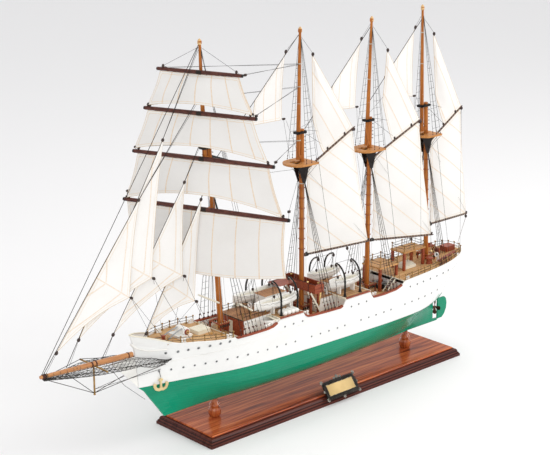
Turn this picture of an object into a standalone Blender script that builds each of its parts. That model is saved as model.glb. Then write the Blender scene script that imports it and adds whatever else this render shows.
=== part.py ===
# Four-masted topsail schooner, a wooden display model on its plinth.
# Metres, +Z up. The origin is the centre of the plinth's underside. +X runs to the
# stern, the bow points to -X, and the port side faces -Y.
import bpy
import bmesh
import math
from mathutils import Matrix, Vector

# Driving dimensions
BASE_LENGTH = 0.600
BASE_WIDTH = 0.141
BASE_HEIGHT = 0.0165
PANEL_INSET = 0.0097
GAP = 0.0003                     # the gap that touching pieces keep

KEEL_Z = 0.0480                  # underside of the keel above the table
KEEL_HALF = 0.0022
WATERLINE_Z = 0.1041             # at x = 0
WATERLINE_RISE = -0.0142         # the painted line climbs a little to the bow
STEM_X = -0.389                  # stem at the waterline
COUNTER_X = 0.325                # stern at the waterline
BOW_X = -0.403
STERN_X = 0.366
WALL = 0.0016                    # bulwark thickness
PLANK = 0.0010                   # deck planking thickness

SAIL_THICKNESS = 0.0008
RIG_REST_ANGLE = math.radians(9.0)     # booms and gaffs stand out to port
YARD_REST_ANGLE = math.radians(22.0)   # yards braced, port arms aft

# Materials: name, colour, roughness, metallic
FINISHES = {
    "white": ((0.86, 0.86, 0.84), 0.25, 0.0),
    "green": ((0.03, 0.33, 0.20), 0.22, 0.0),
    "plank": ((0.62, 0.36, 0.17), 0.45, 0.0),
    "mahogany": ((0.33, 0.08, 0.04), 0.35, 0.0),
    "varnish": ((0.56, 0.22, 0.06), 0.30, 0.0),
    "dark_spar": ((0.13, 0.05, 0.03), 0.40, 0.0),
    "rosewood": ((0.42, 0.14, 0.09), 0.15, 0.0),
    "ebony": ((0.06, 0.02, 0.02), 0.20, 0.0),
    "brass": ((0.80, 0.60, 0.28), 0.30, 1.0),
    "pewter": ((0.12, 0.11, 0.10), 0.40, 1.0),
    "black_metal": ((0.02, 0.02, 0.02), 0.35, 0.6),
    "cream": ((0.88, 0.84, 0.72), 0.40, 0.0),
    "canvas": ((0.88, 0.86, 0.80), 0.90, 0.0),
    "net": ((0.12, 0.12, 0.12), 0.80, 0.0),
}


def clear_scene():
    for ob in list(bpy.data.objects):
        bpy.data.objects.remove(ob, do_unlink=True)


def make_material(name):
    colour, roughness, metallic = FINISHES[name]
    mat = bpy.data.materials.get(name)
    if mat is None:
        mat = bpy.data.materials.new(name)
        mat.use_nodes = True
        shader = mat.node_tree.nodes["Principled BSDF"]
        shader.inputs["Base Color"].default_value = (*colour, 1.0)
        shader.inputs["Roughness"].default_value = roughness
        shader.inputs["Metallic"].default_value = metallic
    return mat


def add_solid(name, verts, faces, finish, smooth=35.0, pivot=(0, 0, 0)):
    """One closed solid, its object's origin at the pivot."""
    bm = bmesh.new()
    made = [bm.verts.new(Vector(v) - Vector(pivot)) for v in verts]
    for face in faces:
        bm.faces.new([made[i] for i in face])
    bmesh.ops.recalc_face_normals(bm, faces=bm.faces)
    mesh = bpy.data.meshes.new(name)
    bm.to_mesh(mesh)
    bm.free()
    if smooth:
        mesh.shade_smooth()
        mesh.set_sharp_from_angle(angle=math.radians(smooth))
    ob = bpy.data.objects.new(name, mesh)
    ob.location = pivot
    ob.data.materials.append(make_material(finish))
    bpy.context.collection.objects.link(ob)
    return ob


def join_solids(target, parts, operation="UNION"):
    """Fuses parts into the target, or cuts them from it, and deletes them."""
    for part in parts:
        cut = target.modifiers.new(operation.lower(), "BOOLEAN")
        cut.operation = operation
        cut.solver = "EXACT"
        cut.object = part
        bpy.context.view_layer.update()
        graph = bpy.context.evaluated_depsgraph_get()
        mesh = bpy.data.meshes.new_from_object(target.evaluated_get(graph))
        target.modifiers.remove(cut)
        old = target.data
        target.data = mesh
        mesh.name = target.name
        bpy.data.meshes.remove(old)
        bpy.data.objects.remove(part, do_unlink=True)
    return target


def loft(rings):
    """Faces through a list of closed rings of equal length, capped at both ends."""
    count = len(rings[0])
    verts = [p for ring in rings for p in ring]
    faces = []
    for i in range(len(rings) - 1):
        for j in range(count):
            k = (j + 1) % count
            faces.append((i * count + j, i * count + k,
                          (i + 1) * count + k, (i + 1) * count + j))
    faces.append(tuple(reversed(range(count))))
    faces.append(tuple((len(rings) - 1) * count + j for j in range(count)))
    return verts, faces


def frame_along(start, end):
    """Two unit vectors square to the line from start to end."""
    axis = (Vector(end) - Vector(start)).normalized()
    side = axis.cross(Vector((0, 0, 1)))
    if side.length < 0.05:
        side = axis.cross(Vector((0, 1, 0)))
    side.normalize()
    return side, side.cross(axis).normalized()


def round_rings(start, end, stops, sides):
    """Rings along a line; stops are (fraction of the length, radius)."""
    start, end = Vector(start), Vector(end)
    side, up = frame_along(start, end)
    rings = []
    for along, radius in stops:
        centre = start.lerp(end, along)
        rings.append([centre + radius * (math.cos(a) * side + math.sin(a) * up)
                      for a in (math.tau * j / sides for j in range(sides))])
    return rings


def add_spar(name, start, end, stops, finish, sides=10, pivot=(0, 0, 0)):
    verts, faces = loft(round_rings(start, end, stops, sides))
    return add_solid(name, verts, faces, finish, pivot=pivot)


def add_box(name, low, high, finish, pivot=(0, 0, 0)):
    (ax, ay, az), (bx, by, bz) = low, high
    rings = [[(x, ay, az), (x, by, az), (x, by, bz), (x, ay, bz)] for x in (ax, bx)]
    verts, faces = loft(rings)
    return add_solid(name, verts, faces, finish, smooth=0, pivot=pivot)


def add_prism(name, outline, low, high, finish, bevel=0.0):
    """A flat outline in X and Y, raised from low to high, its top edge bevelled."""
    rings = [[(x, y, low) for x, y in outline], [(x, y, high - bevel) for x, y in outline]]
    if bevel:
        cx = sum(p[0] for p in outline) / len(outline)
        cy = sum(p[1] for p in outline) / len(outline)
        inner = []
        for x, y in outline:
            away = Vector((x - cx, y - cy))
            inner.append((x - bevel * away.x / away.length,
                          y - bevel * away.y / away.length, high))
        rings.append(inner)
    verts, faces = loft(rings)
    return add_solid(name, verts, faces, finish, smooth=30)


def table_value(table, at):
    """Reads a table of (position, value) rows, straight between the rows."""
    if at <= table[0][0]:
        return table[0][1]
    for (a, va), (b, vb) in zip(table, table[1:]):
        if at <= b:
            return va + (vb - va) * (at - a) / (b - a)
    return table[-1][1]


def smooth_value(table, at):
    """Reads a table of (position, value) rows on a smooth curve without overshoot."""
    xs = [row[0] for row in table]
    ys = [row[1] for row in table]
    if at <= xs[0]:
        return ys[0]
    if at >= xs[-1]:
        return ys[-1]
    slopes = [(ys[i + 1] - ys[i]) / (xs[i + 1] - xs[i]) for i in range(len(xs) - 1)]

    def tangent(i):
        if i == 0:
            return slopes[0]
        if i == len(xs) - 1:
            return slopes[-1]
        before, after = slopes[i - 1], slopes[i]
        if before * after <= 0:
            return 0.0
        return 2.0 * before * after / (before + after)

    i = max(k for k in range(len(xs) - 1) if xs[k] <= at)
    width = xs[i + 1] - xs[i]
    t = (at - xs[i]) / width
    h00 = (1 + 2 * t) * (1 - t) ** 2
    h10 = t * (1 - t) ** 2
    h01 = t * t * (3 - 2 * t)
    h11 = t * t * (t - 1)
    return (h00 * ys[i] + h10 * width * tangent(i)
            + h01 * ys[i + 1] + h11 * width * tangent(i + 1))


# Plinth

def build_plinth():
    half_l, half_w = BASE_LENGTH / 2, BASE_WIDTH / 2
    # the moulding's edge: inset from the outside, height
    edge = [(0.0, 0.0), (0.0, 0.0042), (0.0012, 0.0050), (0.0018, 0.0070),
            (0.0034, 0.0082), (0.0036, 0.0102), (0.0052, 0.0128), (0.0076, 0.0138),
            (0.0094, 0.0138)]
    rings = []
    for inset, height in edge:
        x, y = half_l - inset, half_w - inset
        rings.append([(-x, -y, height), (x, -y, height), (x, y, height), (-x, y, height)])
    verts, faces = loft(rings)
    add_solid("base_moulding", verts, faces, "ebony", smooth=25)

    x, y = half_l - PANEL_INSET, half_w - PANEL_INSET
    low = 0.0138 + GAP
    rings = []
    for inset, height in ((0.0, low), (0.0, BASE_HEIGHT - 0.0010), (0.0010, BASE_HEIGHT)):
        px, py = x - inset, y - inset
        rings.append([(-px, -py, height), (px, -py, height), (px, py, height), (-px, py, height)])
    verts, faces = loft(rings)
    add_solid("base_panel", verts, faces, "rosewood", smooth=25)


PEDESTALS = [("pedestal_bow", -0.2335), ("pedestal_stern", 0.2265)]
# turned profile: height above the panel, radius
PEDESTAL_PROFILE = [(0.0, 0.0082), (0.0022, 0.0098), (0.0060, 0.0108), (0.0100, 0.0106),
                    (0.0132, 0.0090), (0.0146, 0.0066), (0.0158, 0.0066), (0.0166, 0.0092),
                    (0.0180, 0.0086), (0.0215, 0.0058), (0.0262, 0.0046)]


def build_pedestals():
    foot = BASE_HEIGHT + GAP
    for name, x in PEDESTALS:
        top = KEEL_Z - GAP
        height = top - foot
        scale = height / PEDESTAL_PROFILE[-1][0]
        stops = [(h * scale / height, r) for h, r in PEDESTAL_PROFILE]
        add_spar(name, (x, 0, foot), (x, 0, top), stops, "rosewood", sides=20)


PLATE_CENTRE_X = -0.007
PLATE_WIDTH = 0.0615
PLATE_HEIGHT = 0.0195
PLATE_LEAN = math.radians(36.5)      # from upright, leaning back on the moulding


def build_nameplate():
    """An ornate frame round a bare plate, leaning on the moulding's port edge."""
    rim = 0.0042
    depth = 0.0022
    foot = Vector((PLATE_CENTRE_X, -0.0743, 0.0126))
    up = Vector((0, math.sin(PLATE_LEAN), math.cos(PLATE_LEAN)))
    out = Vector((0, -math.cos(PLATE_LEAN), math.sin(PLATE_LEAN)))
    half = PLATE_WIDTH / 2 + rim
    tall = PLATE_HEIGHT + 2 * rim

    # outline with a crest, shoulders and scrolled corners: across, up
    outline = [(-half + 0.002, 0.0), (-0.5 * half, -0.0012), (0.0, -0.0020), (0.5 * half, -0.0012),
               (half - 0.002, 0.0), (half, 0.002), (half - 0.001, 0.5 * tall), (half, tall - 0.003),
               (half - 0.001, tall + 0.0014), (half - 0.005, tall), (0.45 * half, tall + 0.0006),
               (0.14 * half, tall + 0.0030), (0.0, tall + 0.0040), (-0.14 * half, tall + 0.0030),
               (-0.45 * half, tall + 0.0006), (-half + 0.005, tall), (-half + 0.001, tall + 0.0014),
               (-half, tall - 0.003), (-half + 0.001, 0.5 * tall), (-half, 0.002)]
    front, back = 0.0, -depth
    rings = [[foot + Vector((a, 0, 0)) + b * up + c * out for a, b in outline]
             for c in (back, front)]
    verts, faces = loft(rings)
    frame = add_solid("nameplate", verts, faces, "pewter", smooth=20)
    plate_low = foot + Vector((-PLATE_WIDTH / 2, 0, 0)) + rim * up
    plate = []
    for c in (-0.0006, 0.0009):
        plate.append([plate_low + c * out, plate_low + Vector((PLATE_WIDTH, 0, 0)) + c * out,
                      plate_low + Vector((PLATE_WIDTH, 0, 0)) + PLATE_HEIGHT * up + c * out,
                      plate_low + PLATE_HEIGHT * up + c * out])
    verts, faces = loft(plate)
    # the easel foot behind it stands on the panel's edge: across, up
    easel = [(-0.0672, 0.0190), (-0.0625, 0.0256), (-0.0545, 0.0200), (-0.0545, 0.0168),
             (-0.0600, 0.0168)]
    rings = [[(x, y, z) for y, z in easel] for x in (PLATE_CENTRE_X - 0.012, PLATE_CENTRE_X + 0.012)]
    foot_verts, foot_faces = loft(rings)
    join_solids(frame, [add_solid("plate", verts, faces, "brass", smooth=0),
                        add_solid("easel", foot_verts, foot_faces, "pewter", smooth=0)])


# Hull. Half-breadths come from two short tables, one at the deck and one at the
# waterline: place from bow to stern, half-breadth.
DECK_BREADTH = [(-0.403, 0.0016), (-0.396, 0.0070), (-0.385, 0.0130), (-0.365, 0.0215),
                (-0.345, 0.0295), (-0.328, 0.0355), (-0.307, 0.0420), (-0.288, 0.0475),
                (-0.265, 0.0515), (-0.230, 0.0535), (-0.150, 0.0540), (0.100, 0.0540),
                (0.200, 0.0525), (0.260, 0.0485), (0.300, 0.0430), (0.330, 0.0345),
                (0.350, 0.0240), (0.361, 0.0130), (0.366, 0.0030)]
WATER_BREADTH = [(-0.389, 0.0016), (-0.360, 0.0085), (-0.330, 0.0150), (-0.303, 0.0215),
                 (-0.270, 0.0300), (-0.240, 0.0375), (-0.210, 0.0435), (-0.160, 0.0480),
                 (-0.110, 0.0500), (0.0, 0.0515), (0.100, 0.0513), (0.200, 0.0465),
                 (0.240, 0.0385), (0.270, 0.0280), (0.300, 0.0150), (0.315, 0.0070),
                 (0.325, 0.0022)]
# top edge of the side, bulwarks and sweeps included: place, height
SHEER = [(-0.403, 0.2000), (-0.385, 0.1955), (-0.365, 0.1890), (-0.348, 0.1825),
         (-0.332, 0.1780), (-0.300, 0.1752), (-0.270, 0.1712), (-0.250, 0.1690),
         (-0.233, 0.1672), (-0.2295, 0.1650), (-0.200, 0.1640), (-0.165, 0.1638),
         (-0.152, 0.1652), (-0.143, 0.1690), (-0.138, 0.1735), (-0.084, 0.1728),
         (-0.081, 0.1690), (-0.074, 0.1640), (-0.066, 0.1628), (-0.030, 0.1610),
         (0.004, 0.1602), (0.011, 0.1640), (0.0155, 0.1713), (0.0760, 0.1713),
         (0.0795, 0.1640), (0.084, 0.1600), (0.110, 0.1590), (0.140, 0.1605),
         (0.154, 0.1640), (0.164, 0.1708), (0.200, 0.1722), (0.250, 0.1738),
         (0.285, 0.1755), (0.315, 0.1775), (0.340, 0.1792), (0.356, 0.1803),
         (0.366, 0.1810)]
# stem and stern above the waterline: share of the height, place
STEM_ABOVE = [(0.0, -0.389), (0.45, -0.392), (0.75, -0.396), (1.0, -0.403)]
STERN_ABOVE = [(0.0, 0.325), (0.25, 0.338), (0.55, 0.352), (0.8, 0.361), (1.0, 0.366)]
# below it: height, stem, stern
UNDERWATER = [(0.0480, -0.3395, 0.3110), (0.0500, -0.3410, 0.3120), (0.0522, -0.3430, 0.3120),
              (0.0530, -0.3435, 0.2992), (0.0620, -0.3505, 0.2992), (0.0700, -0.3570, 0.2992),
              (0.0780, -0.3635, 0.2992), (0.0860, -0.3700, 0.2992), (0.0930, -0.3755, 0.3000),
              (0.0955, -0.3775, 0.3150), (0.1041, -0.3890, 0.3250)]


def waterline_z(x):
    return WATERLINE_Z + WATERLINE_RISE * x


def share_table(table):
    first, last = table[0][0], table[-1][0]
    return [((x - first) / (last - first), b) for x, b in table]


DECK_SHARES = share_table(DECK_BREADTH)
WATER_SHARES = share_table(WATER_BREADTH)


def deck_half(x):
    return smooth_value(DECK_BREADTH, x)


def side_point(u, s):
    """A point on the port topsides: u from bow to stern, s from waterline to sheer."""
    stem, stern = smooth_value(STEM_ABOVE, s), smooth_value(STERN_ABOVE, s)
    x = stem + u * (stern - stem)
    flare = 1.0 + 0.9 * max(0.0, 1.0 - u / 0.22) ** 1.5
    low, high = smooth_value(WATER_SHARES, u), smooth_value(DECK_SHARES, u)
    half = low + (high - low) * s ** flare
    top_x = BOW_X + u * (STERN_X - BOW_X)
    base = waterline_z(STEM_X + u * (COUNTER_X - STEM_X))
    z = base + (table_value(SHEER, top_x) - base) * s
    return x, half, z


def bottom_point(u, row):
    """A point on the port underwater side, row by row of the profile table."""
    height, stem, stern = UNDERWATER[row]
    x = stem + u * (stern - stem)
    t = (height - KEEL_Z) / (WATERLINE_Z - KEEL_Z)
    full = math.sqrt(max(0.0, 1.0 - (1.0 - t) ** 2.4))
    fine = t ** 1.25
    body = math.sin(math.pi * min(1.0, u / 0.9) ** 0.85) ** 0.6 if 0.0 < u < 0.9 else 0.0
    shape = fine + (full - fine) * body
    half = KEEL_HALF + (smooth_value(WATER_SHARES, u) - KEEL_HALF) * shape
    if row == 0:
        half = KEEL_HALF - 0.0006
    z = KEEL_Z + (waterline_z(x) - KEEL_Z) * t
    return x, max(half, 0.0014), z


def hull_rings(columns, rows, point):
    """Closed rings round the hull, port side bow to stern and starboard side back."""
    rings = []
    for row in rows:
        port = [point(u, row) for u in columns]
        ring = [(x, -half, z) for x, half, z in port]
        ring += [(x, half, z) for x, half, z in reversed(port)]
        rings.append(ring)
    return rings


def ladder_faces(rings):
    """Like loft, but the caps are strips across the hull from side to side."""
    count = len(rings[0])
    verts, faces = loft(rings)
    faces = faces[:-2]
    half = count // 2
    for base in (0, (len(rings) - 1) * count):
        for i in range(half - 1):
            faces.append((base + i, base + i + 1, base + count - 2 - i, base + count - 1 - i))
    return verts, faces


def hull_half(x, z):
    """Half breadth of the topsides at a place and a height."""
    base = waterline_z(x)
    s = min(max((z - base) / (table_value(SHEER, x) - base), 0.0), 1.0)
    u = 0.5
    for _ in range(24):
        at = side_point(u, s)
        u = min(max(u + (x - at[0]) / (STERN_X - BOW_X), 0.0), 1.0)
    return abs(side_point(u, s)[1])


def pocket(name, start, end, floor, wall, steps):
    """A cutter between the bulwarks, its floor at the height that floor(x) gives."""
    rings = []
    for i in range(steps + 1):
        x = start + (end - start) * i / steps
        low, high = hull_half(x, floor(x)) - wall, deck_half(x) - wall
        brim = table_value(SHEER, x) + 0.0006
        rings.append([(x, -low, floor(x)), (x, low, floor(x)), (x, high, brim),
                      (x, high, 0.24), (x, -high, 0.24), (x, -high, brim)])
    verts, faces = loft(rings)
    return add_solid(name, verts, faces, "white", smooth=0)


def forecastle_z(x):
    return table_value([(-0.400, 0.1815), (-0.330, 0.1768), (-0.270, 0.1706),
                        (-0.2325, 0.1664)], x)


def main_deck_z(x):
    return table_value([(-0.229, 0.1515), (-0.05, 0.1495), (0.163, 0.1500)], x)


def poop_z(x):
    return table_value(SHEER, x) - 0.0003


WELLS = (-0.2290, 0.1632)         # the open deck between forecastle and poop
FORECASTLE = (-0.3935, -0.2325)
POOP = (0.1665, 0.3585)
RIM = 0.0011


def build_hull():
    columns = [(x - BOW_X) / (STERN_X - BOW_X) for x, _ in SHEER]
    extra = [(a + b) / 2 for a, b in zip(columns, columns[1:]) if b - a > 0.045]
    columns = sorted(columns + extra)
    shares = [0.0, 0.16, 0.36, 0.58, 0.80, 1.0]
    rings = hull_rings(columns, shares, side_point)
    rings[0] = [(x, y, z + GAP / 2) for x, y, z in rings[0]]
    verts, faces = ladder_faces(rings)
    topsides = add_solid("hull_topsides", verts, faces, "white", smooth=30)
    join_solids(topsides, [
        pocket("well_cut", WELLS[0], WELLS[1], main_deck_z_floor, WALL, 16),
        pocket("forecastle_cut", FORECASTLE[0], FORECASTLE[1],
               lambda x: forecastle_z(x) - PLANK - GAP, RIM, 12),
        pocket("poop_cut", POOP[0], POOP[1],
               lambda x: poop_z(x) - PLANK - GAP, RIM, 12),
    ], "DIFFERENCE")

    count = 30
    columns = [i / count for i in range(count + 1)]
    rings = hull_rings(columns, range(len(UNDERWATER)), bottom_point)
    rings[-1] = [(x, y, z - GAP / 2) for x, y, z in rings[-1]]
    verts, faces = ladder_faces(rings)
    add_solid("hull_bottom", verts, faces, "green", smooth=40)


def main_deck_z_floor(x):
    return main_deck_z(x) - PLANK - GAP


def deck_slab(name, start, end, top, inset, steps, thickness=PLANK, finish="plank"):
    """A deck that fits its pocket, on the pocket's own stations, a gap all round."""
    rings = []
    for i in range(steps + 1):
        x = start + (end - start) * i / steps
        low, high = hull_half(x, top(x) - thickness) - inset, hull_half(x, top(x)) - inset
        low = min(low, high)
        x += GAP if i == 0 else -GAP if i == steps else 0.0
        rings.append([(x, -low, top(x) - thickness), (x, low, top(x) - thickness),
                      (x, high, top(x)), (x, -high, top(x))])
    verts, faces = loft(rings)
    return add_solid(name, verts, faces, finish, smooth=0)


# side profile of the thin knee below the bowsprit: place, height
KNEE = [(-0.3892, 0.1110), (-0.4030, 0.1255), (-0.4210, 0.1445), (-0.4380, 0.1610),
        (-0.4360, 0.1625), (-0.3945, 0.1625)]


def build_knee():
    rings = []
    for y in (-0.0016, 0.0016):
        rings.append([(x - 0.0006, y, z) for x, z in KNEE])
    verts, faces = loft(rings)
    add_solid("bow_knee", verts, faces, "white", smooth=0)


RUDDER_AXIS_X = 0.3145
# rudder blade: place, height
RUDDER = [(0.3150, 0.0504), (0.3255, 0.0504), (0.3325, 0.0565), (0.3372, 0.0660),
          (0.3385, 0.0768), (0.3365, 0.0850), (0.3320, 0.0898), (0.3150, 0.0898)]


def build_rudder():
    pivot = (RUDDER_AXIS_X, 0, 0.0740)
    rings = []
    for y in (-0.0016, 0.0016):
        rings.append([(x, y, z) for x, z in RUDDER])
    verts, faces = loft(rings)
    blade = add_solid("rudder", verts, faces, "green", smooth=0, pivot=pivot)
    stock = add_spar("stock", (RUDDER_AXIS_X, 0, 0.0500), (RUDDER_AXIS_X, 0, 0.0905),
                     [(0, 0.0018), (1, 0.0018)], "green", sides=12, pivot=pivot)
    join_solids(blade, [stock])


PROPELLER_X = 0.3068
PROPELLER_Z = 0.0748
PROPELLER_RADIUS = 0.0140


def build_propeller():
    pivot = (PROPELLER_X, 0, PROPELLER_Z)
    hub = add_spar("propeller", (PROPELLER_X - 0.0070, 0, PROPELLER_Z),
                   (PROPELLER_X + 0.0035, 0, PROPELLER_Z),
                   [(0, 0.0026), (0.7, 0.0026), (0.93, 0.0017), (1, 0.0006)],
                   "brass", sides=12, pivot=pivot)
    blades = []
    # blade sections: radius, half chord, pitch angle in degrees
    sections = [(0.0012, 0.0016, 58), (0.0050, 0.0034, 50), (0.0095, 0.0048, 40),
                (0.0125, 0.0038, 34), (PROPELLER_RADIUS, 0.0014, 30)]
    for number in range(4):
        turn = Matrix.Rotation(math.tau * number / 4, 4, "X")
        rings = []
        for radius, chord, pitch in sections:
            angle = math.radians(pitch)
            ring = []
            for along, thick in ((-1, 0), (0, 0.00055), (1, 0), (0, -0.00055)):
                a = along * chord
                x = a * math.sin(angle) * 0.45 + thick * math.cos(angle)
                y = a * math.cos(angle) - thick * math.sin(angle)
                ring.append(Vector(pivot) + turn @ Vector((x, y, radius)))
            rings.append(ring)
        verts, faces = loft(rings)
        blades.append(add_solid("blade", verts, faces, "brass", smooth=40, pivot=pivot))
    join_solids(hub, blades)


# Decks and houses

def deck_box(name, start, end, half, top, rise, finish):
    """A box standing in a sloping deck, level on top."""
    level = (top(start) + top(end)) / 2 + rise
    rings = [[(x, -half, top(x) - 0.0006), (x, half, top(x) - 0.0006), (x, half, level),
              (x, -half, level)] for x in (start, end)]
    verts, faces = loft(rings)
    return add_solid(name, verts, faces, finish, smooth=0)


def build_decks():
    forecastle = deck_slab("forecastle_deck", FORECASTLE[0], FORECASTLE[1],
                           forecastle_z, RIM + GAP, 12)
    # windlass with its bed, and the hatch abaft it
    z = forecastle_z(-0.303)
    parts = [deck_box("bed", -0.316, -0.290, 0.016, forecastle_z, 0.0042, "white"),
             add_spar("casing", (-0.2985, -0.0105, z + 0.0085), (-0.2985, 0.0105, z + 0.0085),
                      [(0, 0.0066), (1, 0.0066)], "white", sides=16),
             deck_box("skirt", -0.3050, -0.2920, 0.0105, forecastle_z, 0.0085, "white"),
             add_spar("barrel", (-0.2985, -0.0140, z + 0.0085), (-0.2985, 0.0140, z + 0.0085),
                      [(0, 0.0034), (1, 0.0034)], "white", sides=12)]
    parts.append(deck_box("hatch", -0.275, -0.250, 0.011, forecastle_z, 0.0070, "cream"))
    join_solids(forecastle, parts)

    deck_slab("main_deck", WELLS[0], WELLS[1], main_deck_z, WALL + GAP, 16)

    poop = deck_slab("poop_deck", POOP[0], POOP[1], poop_z, RIM + GAP, 12)
    z = poop_z(0.222)
    skylight_rings = []
    for height, dx, dy in ((-0.0006, 0.014, 0.013), (0.0045, 0.014, 0.013), (0.0085, 0.012, 0.003)):
        skylight_rings.append([(0.222 + sx * dx, sy * dy, z + height)
                               for sx, sy in ((-1, -1), (1, -1), (1, 1), (-1, 1))])
    verts, faces = loft(skylight_rings)
    skylight = add_solid("skylight", verts, faces, "cream", smooth=0)
    z = poop_z(0.256)
    capstan = add_spar("drum", (0.2645, -0.0200, z - 0.0006), (0.2645, -0.0200, z + 0.0110),
                       [(0, 0.0060), (0.3, 0.0046), (0.8, 0.0050), (0.9, 0.0068), (1, 0.0066)],
                       "mahogany", sides=12)
    # long benches inside the rail, and a low locker right aft
    seats = []
    for side in (-1, 1):
        ends = [(x, side * y) for x, y in ((0.2700, 0.0385), (0.3280, 0.0270))]
        rings = [[(x, y - 0.0030, poop_z(x) - 0.0006), (x, y + 0.0030, poop_z(x) - 0.0006),
                  (x, y + 0.0030, poop_z(x) + 0.0070), (x, y - 0.0030, poop_z(x) + 0.0070)]
                 for x, y in ends]
        verts, faces = loft(rings)
        seats.append(add_solid("bench", verts, faces, "mahogany", smooth=0))
    seats.append(deck_box("locker", 0.3260, 0.3480, 0.0075, poop_z, 0.0085, "mahogany"))
    join_solids(poop, [skylight, capstan] + seats)


# Boat decks: name, start, end, places of the davits along the deck
BOAT_DECKS = [("boat_deck_fore", -0.1365, -0.0845, (-0.1247, -0.0880)),
              ("boat_deck_aft", 0.0165, 0.0755, (0.0234, 0.0600))]
DAVIT_FOOT_Y = 0.0435
DAVIT_RISE = 0.0555
DAVIT_REACH = 0.0245
DAVIT_RADIUS = 0.0013


# narrower houses on the centre line: start, end, half width, foot height, roof height;
# those with no foot height stand on the main deck
DECKHOUSES = {
    "boat_deck_fore": [(-0.1960, -0.1340, 0.0290, None, 0.1790),
                       (-0.1320, -0.0880, 0.0130, 0.1740, 0.2020)],
    "boat_deck_aft": [(-0.0200, 0.0230, 0.0220, None, 0.1735),
                      (0.0260, 0.0680, 0.0130, 0.1720, 0.1870)],
}


def davit(x, side, deck):
    """A curved davit, upright at its foot and swept over the boat at its head."""
    bend = DAVIT_REACH
    path = [(0.0, 0.0), (0.0, DAVIT_RISE - bend * 1.15)]
    for i in range(1, 6):
        a = math.radians(90 * i / 5 * 0.92)
        path.append((bend * (1 - math.cos(a)), DAVIT_RISE - bend * 1.15 + bend * 1.15 * math.sin(a)))
    curve = bpy.data.curves.new("davit", "CURVE")
    curve.dimensions = "3D"
    curve.bevel_depth = DAVIT_RADIUS
    curve.bevel_resolution = 1
    curve.use_fill_caps = True
    spline = curve.splines.new("POLY")
    spline.points.add(len(path) - 1)
    for point, (reach, rise) in zip(spline.points, path):
        point.co = (x, side * (DAVIT_FOOT_Y - reach), deck - 0.0006 + rise, 1.0)
    ob = bpy.data.objects.new("davit", curve)
    bpy.context.collection.objects.link(ob)
    bpy.context.view_layer.update()
    mesh = bpy.data.meshes.new_from_object(ob)
    bpy.data.objects.remove(ob, do_unlink=True)
    made = bpy.data.objects.new("davit", mesh)
    bpy.context.collection.objects.link(made)
    return made


def build_boat_decks():
    for name, start, end, davits in BOAT_DECKS:
        thick = 0.0014

        def top(x):
            return table_value(SHEER, x) + GAP + 0.0014

        deck = deck_slab(name, start, end, top, 0.0002, 4, thickness=thick)
        # the house under the deck, from bulwark to bulwark
        rings = []
        for i in range(3):
            x = start + 0.0035 + (end - start - 0.0065) * i / 2
            half = deck_half(x) - WALL - 2 * GAP
            low, high = main_deck_z(x) + GAP, top(x) - 0.0005
            foot = hull_half(x, low) - WALL - 2 * GAP
            rings.append([(x, -foot, low), (x, foot, low), (x, half, table_value(SHEER, x)),
                          (x, half, high), (x, -half, high), (x, -half, table_value(SHEER, x))])
        verts, faces = loft(rings)
        parts = [add_solid("house", verts, faces, "white", smooth=0)]
        for ax, bx, half, low, high in DECKHOUSES[name]:
            low = main_deck_z(ax) + GAP if low is None else low
            parts.append(add_box("deckhouse", (ax, -half, low), (bx, half, high), "white"))
        for side in (-1, 1):
            for x in davits:
                parts.append(davit(x, side, top(x)))
        if name == "boat_deck_fore":
            # a row of drum-shaped raft canisters on a cradle, each side
            for side in (-1, 1):
                for i in range(4):
                    x = -0.1195 + 0.0088 * i
                    parts.append(add_spar("canister", (x, side * 0.0475, top(x) + 0.0036),
                                          (x, side * 0.0345, top(x) + 0.0036),
                                          [(0, 0.0032), (0.08, 0.0041), (0.92, 0.0041), (1, 0.0032)],
                                          "white", sides=10))
        join_solids(deck, parts)


# name, centre, side, length, places of the two cradles
LIFEBOATS = [("lifeboat_port_fore", -0.1195, -1, 0.0975, (-0.1290, -0.0920)),
             ("lifeboat_starboard_fore", -0.1195, 1, 0.0975, (-0.1290, -0.0920)),
             ("lifeboat_port_aft", 0.0420, -1, 0.0785, (0.0255, 0.0585)),
             ("lifeboat_starboard_aft", 0.0420, 1, 0.0785, (0.0255, 0.0585))]
LIFEBOAT_BEAM = 0.0215
LIFEBOAT_Y = 0.0265
LIFEBOAT_KEEL = 0.1848
LIFEBOAT_DEPTH = 0.0140


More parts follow.
